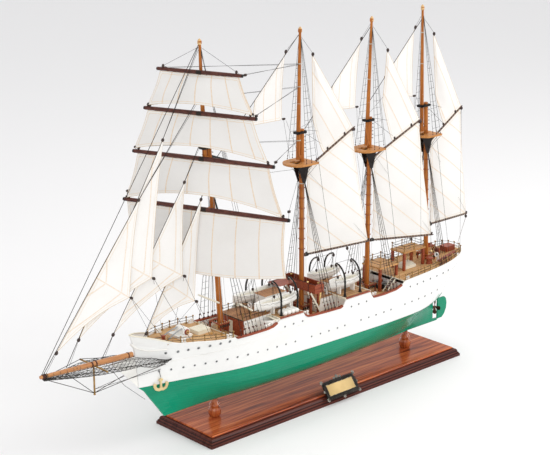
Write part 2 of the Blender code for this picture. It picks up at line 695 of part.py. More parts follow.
def build_lifeboats():
    """Open boats, hollow between their gunwales, on cradles high above the boat decks."""
    for name, cx, side, length, cradles in LIFEBOATS:
        rings, rooms = [], []
        steps = 12
        for i in range(steps + 1):
            t = -1 + 2 * i / steps
            width = LIFEBOAT_BEAM / 2 * (1 - abs(t) ** 2.8) + 0.0006
            x = cx + t * length / 2
            lift = 0.0060 * abs(t) ** 3.5
            rim = LIFEBOAT_KEEL + LIFEBOAT_DEPTH + 0.0030 * t * t
            section = [(0.0, LIFEBOAT_KEEL + lift), (0.50 * width, LIFEBOAT_KEEL + lift + 0.0020),
                       (0.88 * width, LIFEBOAT_KEEL + 0.5 * lift + 0.0065), (width, rim)]
            ring = [(x, side * LIFEBOAT_Y + y, z) for y, z in section]
            ring += [(x, side * LIFEBOAT_Y - y, z) for y, z in reversed(section[1:])]
            rings.append(ring)
            if 1 <= i <= steps - 1:
                inner = width - 0.0016
                floor = LIFEBOAT_KEEL + lift + 0.0060
                rooms.append([(x, side * LIFEBOAT_Y - 0.6 * inner, floor),
                              (x, side * LIFEBOAT_Y + 0.6 * inner, floor),
                              (x, side * LIFEBOAT_Y + inner, rim + 0.004),
                              (x, side * LIFEBOAT_Y - inner, rim + 0.004)])
        verts, faces = loft(rings)
        boat = add_solid(name, verts, faces, "white", smooth=35)
        verts, faces = loft(rooms)
        join_solids(boat, [add_solid("room", verts, faces, "white", smooth=0)], "DIFFERENCE")
        stands = []
        for x in cradles:
            stands.append(add_box("cradle", (x - 0.0012, side * LIFEBOAT_Y - 0.0045,
                                             table_value(SHEER, x) + 0.0017 + GAP),
                                  (x + 0.0012, side * LIFEBOAT_Y + 0.0045, LIFEBOAT_KEEL + 0.0035),
                                  "white"))
        for x in (cx - 0.19 * length, cx + 0.03 * length, cx + 0.20 * length):
            stands.append(add_box("thwart", (x - 0.0014, side * LIFEBOAT_Y - 0.0085,
                                             LIFEBOAT_KEEL + 0.0102),
                                  (x + 0.0014, side * LIFEBOAT_Y + 0.0085, LIFEBOAT_KEEL + 0.0115),
                                  "mahogany"))
        join_solids(boat, stands)


def build_platforms():
    """The open bridge by the main mast and the raised platforms abaft the mizzen."""
    # bridge: a floor, a low wall round it, and four posts down to the main deck
    ax, bx, hy = -0.0440, -0.0235, 0.0400
    floor, rim = 0.1925, 0.2070
    bridge = add_box("navigation_bridge", (ax, -hy, floor), (bx, hy, rim), "mahogany")
    inside = add_box("inside", (ax + 0.0012, -hy + 0.0012, floor + 0.0014),
                     (bx - 0.0012, hy - 0.0012, rim + 0.01), "mahogany")
    # the main mast comes up through its floor
    mast_at = mast_x("main", floor)
    mast_hole = add_spar("hole", (mast_at, 0, floor - 0.01), (mast_at, 0, floor + 0.01),
                         [(0, mast_radius("main", floor) + GAP), (1, mast_radius("main", floor) + GAP)],
                         "mahogany", sides=16)
    join_solids(bridge, [inside, mast_hole], "DIFFERENCE")
    posts = []
    for x in (ax + 0.002, bx - 0.002):
        for y in (-hy + 0.012, hy - 0.012):
            posts.append(add_box("post", (x - 0.0016, y - 0.0016, main_deck_z(x) + GAP),
                                 (x + 0.0016, y + 0.0016, floor + 0.0006), "mahogany"))
    join_solids(bridge, posts)

    # platforms: name, start, end, half width, height, foot heights
    for name, ax, bx, hy, height, foot in (
            ("platform_mizzen", 0.1335, 0.1800, 0.0215, 0.1935, None),
            ("platform_jigger", 0.2010, 0.2560, 0.0165, 0.2070, poop_z)):
        slab = add_box(name, (ax, -hy, height - 0.0014), (bx, hy, height), "plank")
        posts = []
        for x in (ax + 0.0024, bx - 0.0024):
            for y in (-hy + 0.0024, hy - 0.0024):
                ground = foot or (main_deck_z if x < WELLS[1] else poop_z)
                posts.append(add_box("post", (x - 0.0021, y - 0.0021, ground(x) + GAP),
                                     (x + 0.0021, y + 0.0021, height - 0.0008), "mahogany"))
        join_solids(slab, posts)


# Spars. Lower masts and topmasts: foot x, foot z, head x, head z
MASTS = {
    "fore": {"lower": (-0.2182, 0.1669, -0.2392, 0.4760), "top": (-0.2470, 0.4500, -0.2546, 0.6411),
             "radius": 0.0046},
    "main": {"lower": (-0.0370, 0.1498, -0.0385, 0.4680), "top": (-0.0470, 0.4180, -0.0436, 0.6361),
             "radius": 0.0046},
    "mizzen": {"lower": (0.1222, 0.1503, 0.1228, 0.4640), "top": (0.1155, 0.4150, 0.1228, 0.6357),
               "radius": 0.0044},
    "jigger": {"lower": (0.2780, 0.1756, 0.2655, 0.4690), "top": (0.2562, 0.4180, 0.2500, 0.6426),
               "radius": 0.0043},
}


def mast_x(mast, z, part="lower"):
    x0, z0, x1, z1 = MASTS[mast][part]
    return x0 + (x1 - x0) * (z - z0) / (z1 - z0)


def mast_radius(mast, z):
    """The spar's radius at a height, the topmast's above the lower masthead."""
    radius = MASTS[mast]["radius"]
    x0, z0, x1, z1 = MASTS[mast]["lower"]
    if z < z1:
        return radius * (1.0 - 0.14 * (z - z0) / (z1 - z0))
    x2, z2, x3, z3 = MASTS[mast]["top"]
    return radius * (0.80 - 0.32 * (z - z2) / (z3 - z2))


def build_masts():
    for mast, row in MASTS.items():
        radius = row["radius"]
        x0, z0, x1, z1 = row["lower"]
        lower = add_spar("mast_" + mast, (x0, 0, z0), (x1, 0, z1),
                         [(0, radius), (0.5, radius * 0.96), (1, radius * 0.86)],
                         "varnish", sides=12)
        x2, z2, x3, z3 = row["top"]
        topmast = add_spar("topmast", (x2, 0, z2), (x3, 0, z3),
                           [(0, radius * 0.80), (0.25, radius * 0.80), (0.96, radius * 0.48),
                            (0.965, radius * 0.72), (0.985, radius * 0.72), (1, radius * 0.30)],
                           "varnish", sides=12)
        # the cap at the lower masthead holds both, and a heel block joins them below
        cap_z = z1 - 0.0050
        ax, bx = mast_x(mast, cap_z, "top"), mast_x(mast, cap_z)
        cap = add_box("cap", (ax - 0.0060, -0.0048, cap_z - 0.0016),
                      (bx + 0.0055, 0.0048, cap_z + 0.0016), "varnish")
        heel_z = z2 + 0.004
        ax, bx = mast_x(mast, heel_z, "top"), mast_x(mast, heel_z)
        heel = add_box("heel", (ax - 0.0012, -0.0030, heel_z - 0.0030),
                       (bx + 0.0010, 0.0030, heel_z + 0.0030), "varnish")
        parts = [topmast, cap, heel]
        if mast == "fore":
            # the iron crane that carries the lowest yard's truss
            crane_z = YARDS[3][0]
            parts.append(add_spar("crane", (mast_x(mast, crane_z), 0, crane_z),
                                  (fore_axis_x(crane_z) + GAP, 0, crane_z),
                                  [(0, 0.0013), (0.8, 0.0013), (1, 0.0004)], "black_metal", sides=8))
        join_solids(lower, parts)


# the platforms: mast, height of the upper face, how far the rounded front reaches out
TOPS = [("main", 0.4135, 0.0230), ("mizzen", 0.4105, 0.0230), ("jigger", 0.4130, 0.0165)]


def top_outline(front):
    """Rounded in front, straight sides, squared behind: along, across."""
    points = []
    for i in range(9):
        a = math.radians(90 + 180 * i / 8)
        points.append((-0.0120 + front * math.cos(a), 0.0235 * math.sin(a)))
    points += [(0.0170, -0.0235), (0.0170, 0.0235)]
    return points


def build_tops():
    for mast, height, front in TOPS:
        cx = mast_x(mast, height)
        outline = [(cx + x, y) for x, y in top_outline(front)]
        platform = add_prism("top_" + mast, outline, height - 0.0032, height, "plank")
        hug = mast_radius(mast, height) + GAP
        holes = [add_box("hole", (cx - 0.0165, -hug, height - 0.02), (cx + hug, hug, height + 0.02),
                         "plank"),
                 add_box("lubber_hole", (cx - 0.0210, -0.0088, height - 0.02),
                         (cx - 0.0085, 0.0088, height + 0.02), "plank")]
        join_solids(platform, holes, "DIFFERENCE")
        # bracket wings under the platform, either side of the mast
        wings = []
        for side in (-1, 1):
            y0 = side * 0.0062
            profile = [(cx - 0.0260, height - 0.0030), (cx + 0.0150, height - 0.0030),
                       (cx + 0.0100, height - 0.0085), (cx + 0.0024, height - 0.0360),
                       (cx - 0.0024, height - 0.0360), (cx - 0.0130, height - 0.0090)]
            rings = [[(x, y, z) for x, z in profile]
                     for y in (y0 - 0.0009, y0 + 0.0009)]
            verts, faces = loft(rings)
            wings.append(add_solid("wing", verts, faces, "black_metal", smooth=0))
        join_solids(platform, wings)


BOWSPRIT_ROOT = Vector((-0.3992, 0.0, 0.1684))
BOWSPRIT_TIP = Vector((-0.5685, 0.0, 0.1768))


def build_bowsprit():
    sprit = add_spar("bowsprit", BOWSPRIT_ROOT, BOWSPRIT_TIP,
                     [(0, 0.0044), (0.3, 0.0046), (0.98, 0.0030), (1, 0.0026)], "varnish", sides=12)
    at = BOWSPRIT_ROOT.lerp(BOWSPRIT_TIP, 0.43)
    striker = add_spar("striker", at, at + Vector((0.0, 0.0, -0.0480)),
                       [(0, 0.0013), (1, 0.0011)], "dark_spar", sides=8)
    spreader = add_spar("spreader", at + Vector((0, -0.0330, -0.0022)),
                        at + Vector((0, 0.0330, -0.0022)),
                        [(0, 0.0011), (0.5, 0.0013), (1, 0.0011)], "dark_spar", sides=8)
    join_solids(sprit, [striker, spreader])


def build_net():
    """The safety net slung each side of the bowsprit, as one thin tray."""
    # share of the bowsprit from root to tip, half width, drop below the spar
    rows = [(0.045, 0.0330, 0.0062), (0.20, 0.0345, 0.0080), (0.43, 0.0315, 0.0075),
            (0.70, 0.0190, 0.0065), (0.88, 0.0090, 0.0058), (0.965, 0.0040, 0.0052)]
    rings = []
    for share, half, drop in rows:
        centre = BOWSPRIT_ROOT.lerp(BOWSPRIT_TIP, share)
        ring = []
        for y, sag in ((-1.0, 0.0), (-0.5, 0.0022), (0.0, 0.0030), (0.5, 0.0022), (1.0, 0.0)):
            ring.append((centre.x, y * half, centre.z - drop - sag))
        for y, sag in ((1.0, 0.0), (0.5, 0.0022), (0.0, 0.0030), (-0.5, 0.0022), (-1.0, 0.0)):
            ring.append((centre.x, y * half, centre.z - drop - sag + 0.0006))
        rings.append(ring)
    verts, faces = loft(rings)
    net = add_solid("bowsprit_net", verts, faces, "net", smooth=0)
    at = BOWSPRIT_ROOT.lerp(BOWSPRIT_TIP, 0.43)
    slot = add_box("slot", (at.x - 0.0020, -0.0020, at.z - 0.03), (at.x + 0.0020, 0.0020, at.z + 0.03),
                   "net")
    knee_slot = add_box("slot", (KNEE[3][0] - 0.0015, -0.0022, at.z - 0.03),
                        (BOW_X + 0.01, 0.0022, at.z + 0.03), "net")
    join_solids(net, [slot, knee_slot], "DIFFERENCE")


# Yards, from the top down: height, half length, shift to starboard, radius
YARDS = [(0.5917, 0.0735, -0.002, 0.0027), (0.5272, 0.0975, 0.001, 0.0029),
         (0.4550, 0.1235, 0.000, 0.0030), (0.3728, 0.1465, 0.000, 0.0031)]
YARD_AHEAD = 0.0085


def fore_axis_x(z):
    """The turning axis of all the yards is the line of the fore topmast."""
    return mast_x("fore", z, "top")


def yard_point(row, along, ahead=0.0, rise=0.0):
    """A point in a yard's own directions: along is to port."""
    height, half, shift, _ = YARDS[row]
    port = Vector((math.sin(YARD_REST_ANGLE), -math.cos(YARD_REST_ANGLE), 0))
    front = Vector((-math.cos(YARD_REST_ANGLE), -math.sin(YARD_REST_ANGLE), 0))
    centre = Vector((fore_axis_x(height), 0, height + rise))
    return centre + (YARD_AHEAD + ahead) * front + (along - shift) * port


def build_yards():
    pivot = (fore_axis_x(0.45), 0, 0.45)
    for row, (height, half, shift, radius) in enumerate(YARDS):
        add_spar("yard_%d" % (row + 1), yard_point(row, -half), yard_point(row, half),
                 [(0, radius * 0.62), (0.03, radius * 0.75), (0.3, radius), (0.7, radius),
                  (0.97, radius * 0.75), (1, radius * 0.62)], "dark_spar", sides=8, pivot=pivot)
        # the lowest yard's truss reaches the turning axis, the others' the topmast
        reach = (mast_radius("fore", height) if row < 2 else 0.0037) + 2 * GAP
        if row == 3:
            reach = GAP
        truss = add_spar("truss", yard_point(row, shift), yard_point(row, shift, reach - YARD_AHEAD),
                         [(0, 0.0010), (0.8, 0.0010), (1, 0.0004)], "dark_spar", sides=8, pivot=pivot)
        join_solids(bpy.data.objects["yard_%d" % (row + 1)], [truss])

    # square sails: head share and foot share of the half lengths, drop of the foot's
    # corners below the yard, rise of the foot's middle, belly ahead
    sails = [(0.92, 0.93, 0.0580, 0.0113, 0.0130), (0.93, 0.94, 0.0657, 0.0165, 0.0110),
             (0.93, 0.94, 0.0775, 0.0230, 0.0110), (0.95, 0.96, 0.0930, -0.0100, 0.0120)]
    for row, (head, foot, drop, arch, belly) in enumerate(sails):
        half = YARDS[row][1]
        below = YARDS[min(row + 1, 3)][1]
        ahead = YARDS[row][3] * 0.2
        radius = YARDS[row][3]
        columns, levels = 8, 6
        front = []
        for j in range(levels + 1):
            t = j / levels
            width = half * head + (below * foot - half * head) * (1 - (1 - t) ** 1.25)
            for i in range(columns + 1):
                s = -1 + 2 * i / columns
                curve = belly * (1 - s * s) * math.sin(0.62 * math.pi * t)
                fall = radius + 0.0006 + t * (drop - radius - arch * (1 - s * s))
                front.append(yard_point(row, s * width, ahead + curve, -fall))
        add_sheet("square_sail_%d" % (row + 1), front, columns, levels,
                  Vector((-math.cos(YARD_REST_ANGLE), -math.sin(YARD_REST_ANGLE), 0)), pivot)


def add_sheet(name, grid, columns, levels, normal, pivot=(0, 0, 0)):
    """A thin solid sail from a grid of points, thickened along the normal."""
    width = columns + 1
    size = len(grid)
    half = normal * (SAIL_THICKNESS / 2)
    verts = [p + half for p in grid] + [p - half for p in grid]
    faces = []
    for j in range(levels):
        for i in range(columns):
            a = j * width + i
            quad = (a, a + 1, a + width + 1, a + width)
            faces.append(quad)
            faces.append(tuple(size + k for k in reversed(quad)))
    rim = [i for i in range(width)]
    rim += [j * width + columns for j in range(1, levels + 1)]
    rim += [levels * width + i for i in range(columns - 1, -1, -1)]
    rim += [j * width for j in range(levels - 1, 0, -1)]
    for a, b in zip(rim, rim[1:] + rim[:1]):
        faces.append((a, b, size + b, size + a))
    return add_solid(name, verts, faces, "canvas", smooth=60, pivot=pivot)


# Fore-and-aft rigs: each swings as one about its lower mast. Lengths run out from
# the mast axis and heights are above the table.
# boom: height at the mast, at the end, length; gaff: the same;
# topsail: head out and up, luff foot out and up, tack out and up
RIGS = {
    "main": {"boom": (0.2500, 0.2514, 0.1442), "gaff": (0.3960, 0.4585, 0.1083),
             "head": (0.0201, 0.5860), "luff": (0.0225, 0.4800), "tack": (0.0440, 0.4300)},
    "mizzen": {"boom": (0.2425, 0.2285, 0.1490), "gaff": (0.3900, 0.4465, 0.1135),
               "head": (0.0340, 0.5720), "luff": (0.0270, 0.4880), "tack": (0.0500, 0.4270)},
    "jigger": {"boom": (0.2400, 0.2468, 0.0979), "gaff": (0.3930, 0.4530, 0.0841),
               "head": (0.0170, 0.5860), "luff": (0.0225, 0.4800), "tack": (0.0420, 0.4330)},
}
JAW_GAP = 0.0006
GAFF_START = 0.0050
LEECH_HOLLOW = 0.0016


def rig_point(mast, out, z, aside=0.0):
    """A point of a rig: out from the lower mast axis, at height z."""
    direction = Vector((math.cos(RIG_REST_ANGLE), -math.sin(RIG_REST_ANGLE), 0))
    across = Vector((-math.sin(RIG_REST_ANGLE), -math.cos(RIG_REST_ANGLE), 0))
    return Vector((mast_x(mast, z), 0, z)) + out * direction + aside * across


def build_rigs():
    for mast, rig in RIGS.items():
        pivot = (mast_x(mast, 0.32), 0, 0.32)
        z0, z1, length = rig["boom"]
        start = mast_radius(mast, z0) + JAW_GAP
        add_spar("boom_" + mast, rig_point(mast, start, z0), rig_point(mast, length, z1),
                 [(0, 0.0015), (0.3, 0.0019), (0.97, 0.0014), (1, 0.0010)], "dark_spar",
                 sides=8, pivot=pivot)
        g0, g1, reach = rig["gaff"]
        add_spar("gaff_" + mast, rig_point(mast, GAFF_START, g0), rig_point(mast, reach, g1),
                 [(0, 0.0014), (0.3, 0.0017), (0.97, 0.0012), (1, 0.0009)], "dark_spar",
                 sides=8, pivot=pivot)

        # gaff sail: foot on the boom, head under the gaff
        columns, levels = 6, 6
        luff_out, tack_lift = 0.0105, 0.0023
        normal = Vector((-math.sin(RIG_REST_ANGLE), -math.cos(RIG_REST_ANGLE), 0))
        grid = []
        slope = (g1 - g0) / (reach - GAFF_START)
        for j in range(levels + 1):
            t = j / levels
            foot_end, head_end = length * 0.962, reach * 0.945
            for i in range(columns + 1):
                s = i / columns
                foot_out = luff_out + s * (foot_end - luff_out)
                head_out = luff_out + s * (head_end - luff_out)
                foot_z = z0 + (z1 - z0) * foot_out / length + tack_lift
                head_z = g0 + slope * (head_out - GAFF_START) - 0.0025
                out = foot_out + (head_out - foot_out) * t
                out -= LEECH_HOLLOW * s * math.sin(math.pi * t)
                z = foot_z + (head_z - foot_z) * t
                belly = 0.0065 * math.sin(math.pi * s) ** 0.8 * math.sin(math.pi * t)
                grid.append(rig_point(mast, out, z, belly))
        add_sheet("gaff_sail_" + mast, grid, columns, levels, normal, pivot)

        # gaff topsail: head aloft, foot just above the gaff
        head, luff, tack = rig["head"], rig["luff"], rig["tack"]
        peak_out = reach * 0.955
        peak = (peak_out, g0 + slope * (peak_out - GAFF_START) + 0.0026)
        tack_z = g0 + slope * (tack[0] - GAFF_START) + 0.0026
        grid = []
        for j in range(levels + 1):
            t = j / levels
            # the luff runs from the tack by the bend near the mast to the head
            if t < 0.35:
                k = t / 0.35
                left = (tack[0] + (luff[0] - tack[0]) * k ** 0.8, tack_z + (luff[1] - tack_z) * k)
            else:
                k = (t - 0.35) / 0.65
                left = (luff[0] + (head[0] - luff[0]) * k, luff[1] + (head[1] - luff[1]) * k)
            right = (peak[0] + (head[0] + 0.0022 - peak[0]) * t, peak[1] + (head[1] - peak[1]) * t)
            for i in range(columns + 1):
                s = i / columns
                out = left[0] + (right[0] - left[0]) * s
                z = left[1] + (right[1] - left[1]) * s
                if j == 0:
                    z = g0 + slope * (out - GAFF_START) + 0.0026
                belly = 0.0035 * math.sin(math.pi * s) * math.sin(math.pi * t)
                grid.append(rig_point(mast, out, z, belly))
        add_sheet("topsail_" + mast, grid, columns, levels, normal, pivot)


# Jibs: tack, head and clew as (x, z), how far the sail stands to port for each metre
# abaft its stay, and where the stay meets the foremast: height, across at its foot, at
# its head. The first two stays pass each other, one a little to either side.
JIBS = [("flying_jib", (-0.5369, 0.2096), (-0.3820, 0.4098), (-0.4145, 0.2691), 0.210,
         0.5620, -0.0006, -0.0036),
        ("outer_jib", (-0.4950, 0.2192), (-0.3303, 0.4933), (-0.3692, 0.2894), 0.195,
         0.6290, 0.0013, 0.0010),
        ("inner_jib", (-0.4321, 0.2118), (-0.2905, 0.4204), (-0.3082, 0.2792), 0.190,
         0.4860, 0.0, 0.0),
        ("fore_staysail", (-0.3689, 0.1973), (-0.2575, 0.3865), (-0.2826, 0.2308), 0.180,
         0.4265, 0.0, 0.0)]
JIB_BELLY = 0.0013


STAY_RADIUS = 0.0005
FORE_STAY_HEAD = 0.6325


def add_stay(name, points):
    """A taut stay through points given as (x, z, y), y being 0 where it is left out."""
    places = [Vector((p[0], p[2] if len(p) > 2 else 0.0, p[1])) for p in points]
    run = places[-1] - places[0]
    across = Vector((-run.z, 0, run.x)).normalized()
    rings = []
    for place in places:
        rings.append([place + STAY_RADIUS * (math.cos(a) * across
                      + math.sin(a) * Vector((0, 1, 0)))
                      for a in (math.tau * (j + 0.5) / 8 for j in range(8))])
    verts, faces = loft(rings)
    return add_solid(name, verts, faces, "black_metal")


def bowsprit_top(x):
    share = (x - BOWSPRIT_ROOT.x) / (BOWSPRIT_TIP.x - BOWSPRIT_ROOT.x)
    return BOWSPRIT_ROOT.lerp(BOWSPRIT_TIP, share).z + 0.0046 - 0.0016 * share


def fore_side(z):
    """The front face of the foremast at a height, less a small gap."""
    part = "top" if z > 0.45 else "lower"
    return mast_x("fore", z, part) - mast_radius("fore", z) - 2 * GAP


def build_fore_stay():
    foot_x = -0.5655
    add_stay("fore_stay", [(foot_x, bowsprit_top(foot_x) + 2 * GAP),
                           (fore_side(FORE_STAY_HEAD), FORE_STAY_HEAD)])


def build_jibs():
    columns, levels = 6, 7
    for name, tack, head, clew, aside, stay_z, foot_y, head_y in JIBS:
        slope = (head[1] - tack[1]) / (head[0] - tack[0])
        foot_x = tack[0] - (tack[1] - 0.1760) / slope
        on_deck = foot_x > BOW_X + 0.02
        foot_z = (forecastle_z(foot_x) if on_deck else bowsprit_top(foot_x)) + 2 * GAP
        grid = []
        for j in range(levels + 1):
            t = j / levels                       # 0 at the foot, 1 at the head
            front = (tack[0] + (head[0] - tack[0]) * t, tack[1] + (head[1] - tack[1]) * t)
            back = (clew[0] + (head[0] - clew[0]) * t, clew[1] + (head[1] - clew[1]) * t)
            if j == levels:
                back = (head[0] + 0.0016, head[1] - 0.0004)
            for i in range(columns + 1):
                s = i / columns
                x = front[0] + (back[0] - front[0]) * s
                z = front[1] + (back[1] - front[1]) * s
                # the foot and leech are cut hollow
                z += 0.0090 * math.sin(math.pi * s) * (1 - t) ** 3
                abaft = x - (tack[0] + (head[0] - tack[0]) * (z - tack[1]) / (head[1] - tack[1]))
                stay_y = foot_y + (head_y - foot_y) * (z - foot_z) / (stay_z - foot_z)
                y = stay_y - aside * max(0.0, abaft) - JIB_BELLY * math.sin(math.pi * s)
                grid.append(Vector((x, y, z)))
        sail = add_sheet(name, grid, columns, levels, Vector((0, -1, 0)))
        stay_x = fore_side(stay_z) if abs(head_y) < 0.002 else fore_axis_x(stay_z) - 0.0012
        joint_y = foot_y + (head_y - foot_y) * (head[1] - foot_z) / (stay_z - foot_z)
        join_solids(sail, [add_stay("stay", [(foot_x, foot_z, foot_y), (*head, joint_y),
                                             (stay_x, stay_z, head_y)])])


# Staysails between the masts: places of the head and the upper tack along the stay,
# then lower tack and clew as (x, z)
STAYSAILS = [("staysail_main", -0.0767, -0.1545, (-0.1488, 0.4911), (-0.0818, 0.4895)),
             ("staysail_mizzen", 0.0970, 0.0190, (0.0247, 0.4891), (0.0882, 0.4847)),
             ("staysail_jigger", 0.2310, 0.1600, (0.1660, 0.5020), (0.2325, 0.4834))]
STAYSAIL_SIDE = 0.0030            # set a little to starboard, clear of the topsails ahead
# the stays that they hang from: foot and head as (x, z)
MAST_STAYS = [((-0.2320, 0.4420), (-0.0472, 0.6240)),
              ((-0.0322, 0.4668), (0.1193, 0.6183)),
              ((0.1225, 0.4930), (0.2481, 0.6176))]


def build_staysails():
    columns, levels = 5, 6
    for (name, head_x, high_x, low, clew), (foot, top) in zip(STAYSAILS, MAST_STAYS):
        slope = (top[1] - foot[1]) / (top[0] - foot[0])
        head = (head_x, foot[1] + slope * (head_x - foot[0]))
        high = (high_x, foot[1] + slope * (high_x - foot[0]))
        grid = []
        for j in range(levels + 1):
            t = j / levels
            front = (high[0] + (head[0] - high[0]) * t, high[1] + (head[1] - high[1]) * t)
            back = (clew[0] + (head[0] + 0.0014 - clew[0]) * t, clew[1] + (head[1] - clew[1]) * t)
            if j == 0:
                front = low
            for i in range(columns + 1):
                s = i / columns
                x = front[0] + (back[0] - front[0]) * s
                z = front[1] + (back[1] - front[1]) * s
                y = STAYSAIL_SIDE * s + 0.0030 * math.sin(math.pi * s) * math.sin(math.pi * t)
                grid.append(Vector((x, y, z)))
        sail = add_sheet(name, grid, columns, levels, Vector((0, -1, 0)))
        join_solids(sail, [add_stay("stay", [foot, top])])


def main():
    clear_scene()
    build_plinth()
    build_pedestals()
    build_nameplate()
    build_hull()
    build_knee()
    build_rudder()
    build_propeller()
    build_decks()
    build_boat_decks()
    build_lifeboats()
    build_platforms()
    build_masts()
    build_tops()
    build_bowsprit()
    build_net()
    build_yards()
    build_rigs()
    build_fore_stay()
    build_jibs()
    build_staysails()


main()
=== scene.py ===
# Display model of a four-masted topsail schooner on its plinth: the finish of every
# surface, the sails as cloth, the rigging and the small fittings on deck.
import math
import random
import bisect

import bpy
import bmesh
import numpy as np
from mathutils import Matrix, Vector


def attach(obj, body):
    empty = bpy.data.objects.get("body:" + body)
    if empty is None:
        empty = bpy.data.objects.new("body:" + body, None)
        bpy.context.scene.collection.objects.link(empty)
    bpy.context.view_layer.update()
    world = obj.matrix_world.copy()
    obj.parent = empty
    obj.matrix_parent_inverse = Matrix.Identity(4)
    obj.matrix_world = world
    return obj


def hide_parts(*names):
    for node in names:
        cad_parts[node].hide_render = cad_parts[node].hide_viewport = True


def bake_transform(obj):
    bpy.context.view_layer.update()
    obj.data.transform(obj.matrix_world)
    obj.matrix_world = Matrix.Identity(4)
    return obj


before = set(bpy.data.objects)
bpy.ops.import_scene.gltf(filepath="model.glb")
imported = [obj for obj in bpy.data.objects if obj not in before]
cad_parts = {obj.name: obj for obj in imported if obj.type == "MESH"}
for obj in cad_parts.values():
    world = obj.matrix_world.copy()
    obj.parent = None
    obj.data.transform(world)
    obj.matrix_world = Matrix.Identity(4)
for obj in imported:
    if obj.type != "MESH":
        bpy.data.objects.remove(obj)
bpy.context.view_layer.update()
print("stage: frame loaded,", len(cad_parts), "solids")

# Camera, floor and light
cameraSetup = {
    "place": (-1.72318, -1.75460, 1.02736),
    "heading": 0.8238311,          # of the view, anticlockwise from +X
    "pitch": 0.2909268,            # below the horizon
    "lens": 99.365,
    "sensor": 36.0,
}


def addCamera(setup):
    lens = bpy.data.cameras.new("photoView")
    lens.lens = setup["lens"]
    lens.sensor_width = setup["sensor"]
    lens.clip_start = 0.05
    lens.clip_end = 60.0
    camera = bpy.data.objects.new("photoView", lens)
    camera.location = setup["place"]
    camera.rotation_euler = (math.pi / 2 - setup["pitch"], 0, setup["heading"] - math.pi / 2)
    bpy.context.collection.objects.link(camera)
    bpy.context.scene.camera = camera


addCamera(cameraSetup)

lamps = [  # name, place, aims at, width, height, watts, colour
    ("windowSide", (1.7, -1.5, 1.6), (0.0, 0.0, 0.25), 1.3, 1.1, 23, (1.0, 0.985, 0.965)),
    ("windowBow", (-2.2, -1.7, 1.5), (-0.1, 0.0, 0.25), 1.3, 1.2, 6, (1.0, 0.99, 0.98)),
    ("cameraSide", (-1.55, -1.65, 0.75), (-0.05, 0.0, 0.22), 2.0, 1.4, 6, (1.0, 0.955, 0.89)),
    ("ceiling", (0.3, 0.0, 2.6), (0.0, 0.0, 0.2), 1.8, 1.6, 13, (1.0, 1.0, 1.0)),
]


def addLamp(name, place, target, width, height, watts, colour):
    lamp = bpy.data.lights.new(name, "AREA")
    lamp.shape = "RECTANGLE"
    lamp.size = width
    lamp.size_y = height
    lamp.energy = watts
    lamp.color = colour
    ob = bpy.data.objects.new(name, lamp)
    ob.location = place
    aim = Vector(target) - Vector(place)
    ob.rotation_euler = aim.to_track_quat("-Z", "Y").to_euler()
    bpy.context.collection.objects.link(ob)


for lampRow in lamps:
    addLamp(*lampRow)

sky = bpy.data.worlds.new("softRoom")
sky.use_nodes = True
sky.node_tree.nodes["Background"].inputs["Color"].default_value = (0.985, 0.985, 1.0, 1.0)
sky.node_tree.nodes["Background"].inputs["Strength"].default_value = 0.90
bpy.context.scene.world = sky
bpy.context.scene.view_settings.view_transform = "Standard"


# Node writing: a plug wraps an output or a plain number, so that maths reads as maths
class Plug:
    def __init__(self, graph, socket):
        self.graph = graph
        self.socket = socket

    def maths(self, operation, *others):
        return self.graph.node("ShaderNodeMath", {"operation": operation}, [self, *others])

    def __add__(self, other):
        return self.maths("ADD", other)

    __radd__ = __add__

    def __mul__(self, other):
        return self.maths("MULTIPLY", other)

    __rmul__ = __mul__

    def __sub__(self, other):
        return self.maths("SUBTRACT", other)

    def __rsub__(self, other):
        return self.graph.node("ShaderNodeMath", {"operation": "SUBTRACT"}, [other, self])

    def __truediv__(self, other):
        return self.maths("DIVIDE", other)

    def __gt__(self, other):
        return self.maths("GREATER_THAN", other)

    def __lt__(self, other):
        return self.maths("LESS_THAN", other)

    def __abs__(self):
        return self.maths("ABSOLUTE")

    def wrap(self, size):
        return self.maths("FLOORED_MODULO", size)

    def floor(self):
        return self.maths("FLOOR")

    def sine(self):
        return self.maths("SINE")

    def most(self, other):
        return self.maths("MAXIMUM", other)

    def step(self, low, high):          # 0 below low, 1 above high, smooth between
        return self.graph.node("ShaderNodeMapRange", {"interpolation_type": "SMOOTHSTEP"},
            {"Value": self, "From Min": low, "From Max": high})


class Graph:
    def __init__(self, tree):
        self.tree = tree

    def node(self, kind, settings=None, sockets=None, output=0):
        made = self.tree.nodes.new(kind)
        for key, value in (settings or {}).items():
            if key == "stops":
                ramp = made.color_ramp
                while len(ramp.elements) < len(value):
                    ramp.elements.new(0.5)
                for element, (place, colour) in zip(ramp.elements, value):
                    element.position = place
                    element.color = (*colour, 1.0)
            else:
                setattr(made, key, value)
        pairs = sockets.items() if isinstance(sockets, dict) else enumerate(sockets or [])
        for key, value in pairs:
            spot = made.inputs[key]
            if isinstance(value, Plug):
                self.tree.links.new(value.socket, spot)
            elif value is not None:
                spot.default_value = value
        return Plug(self, made.outputs[output])


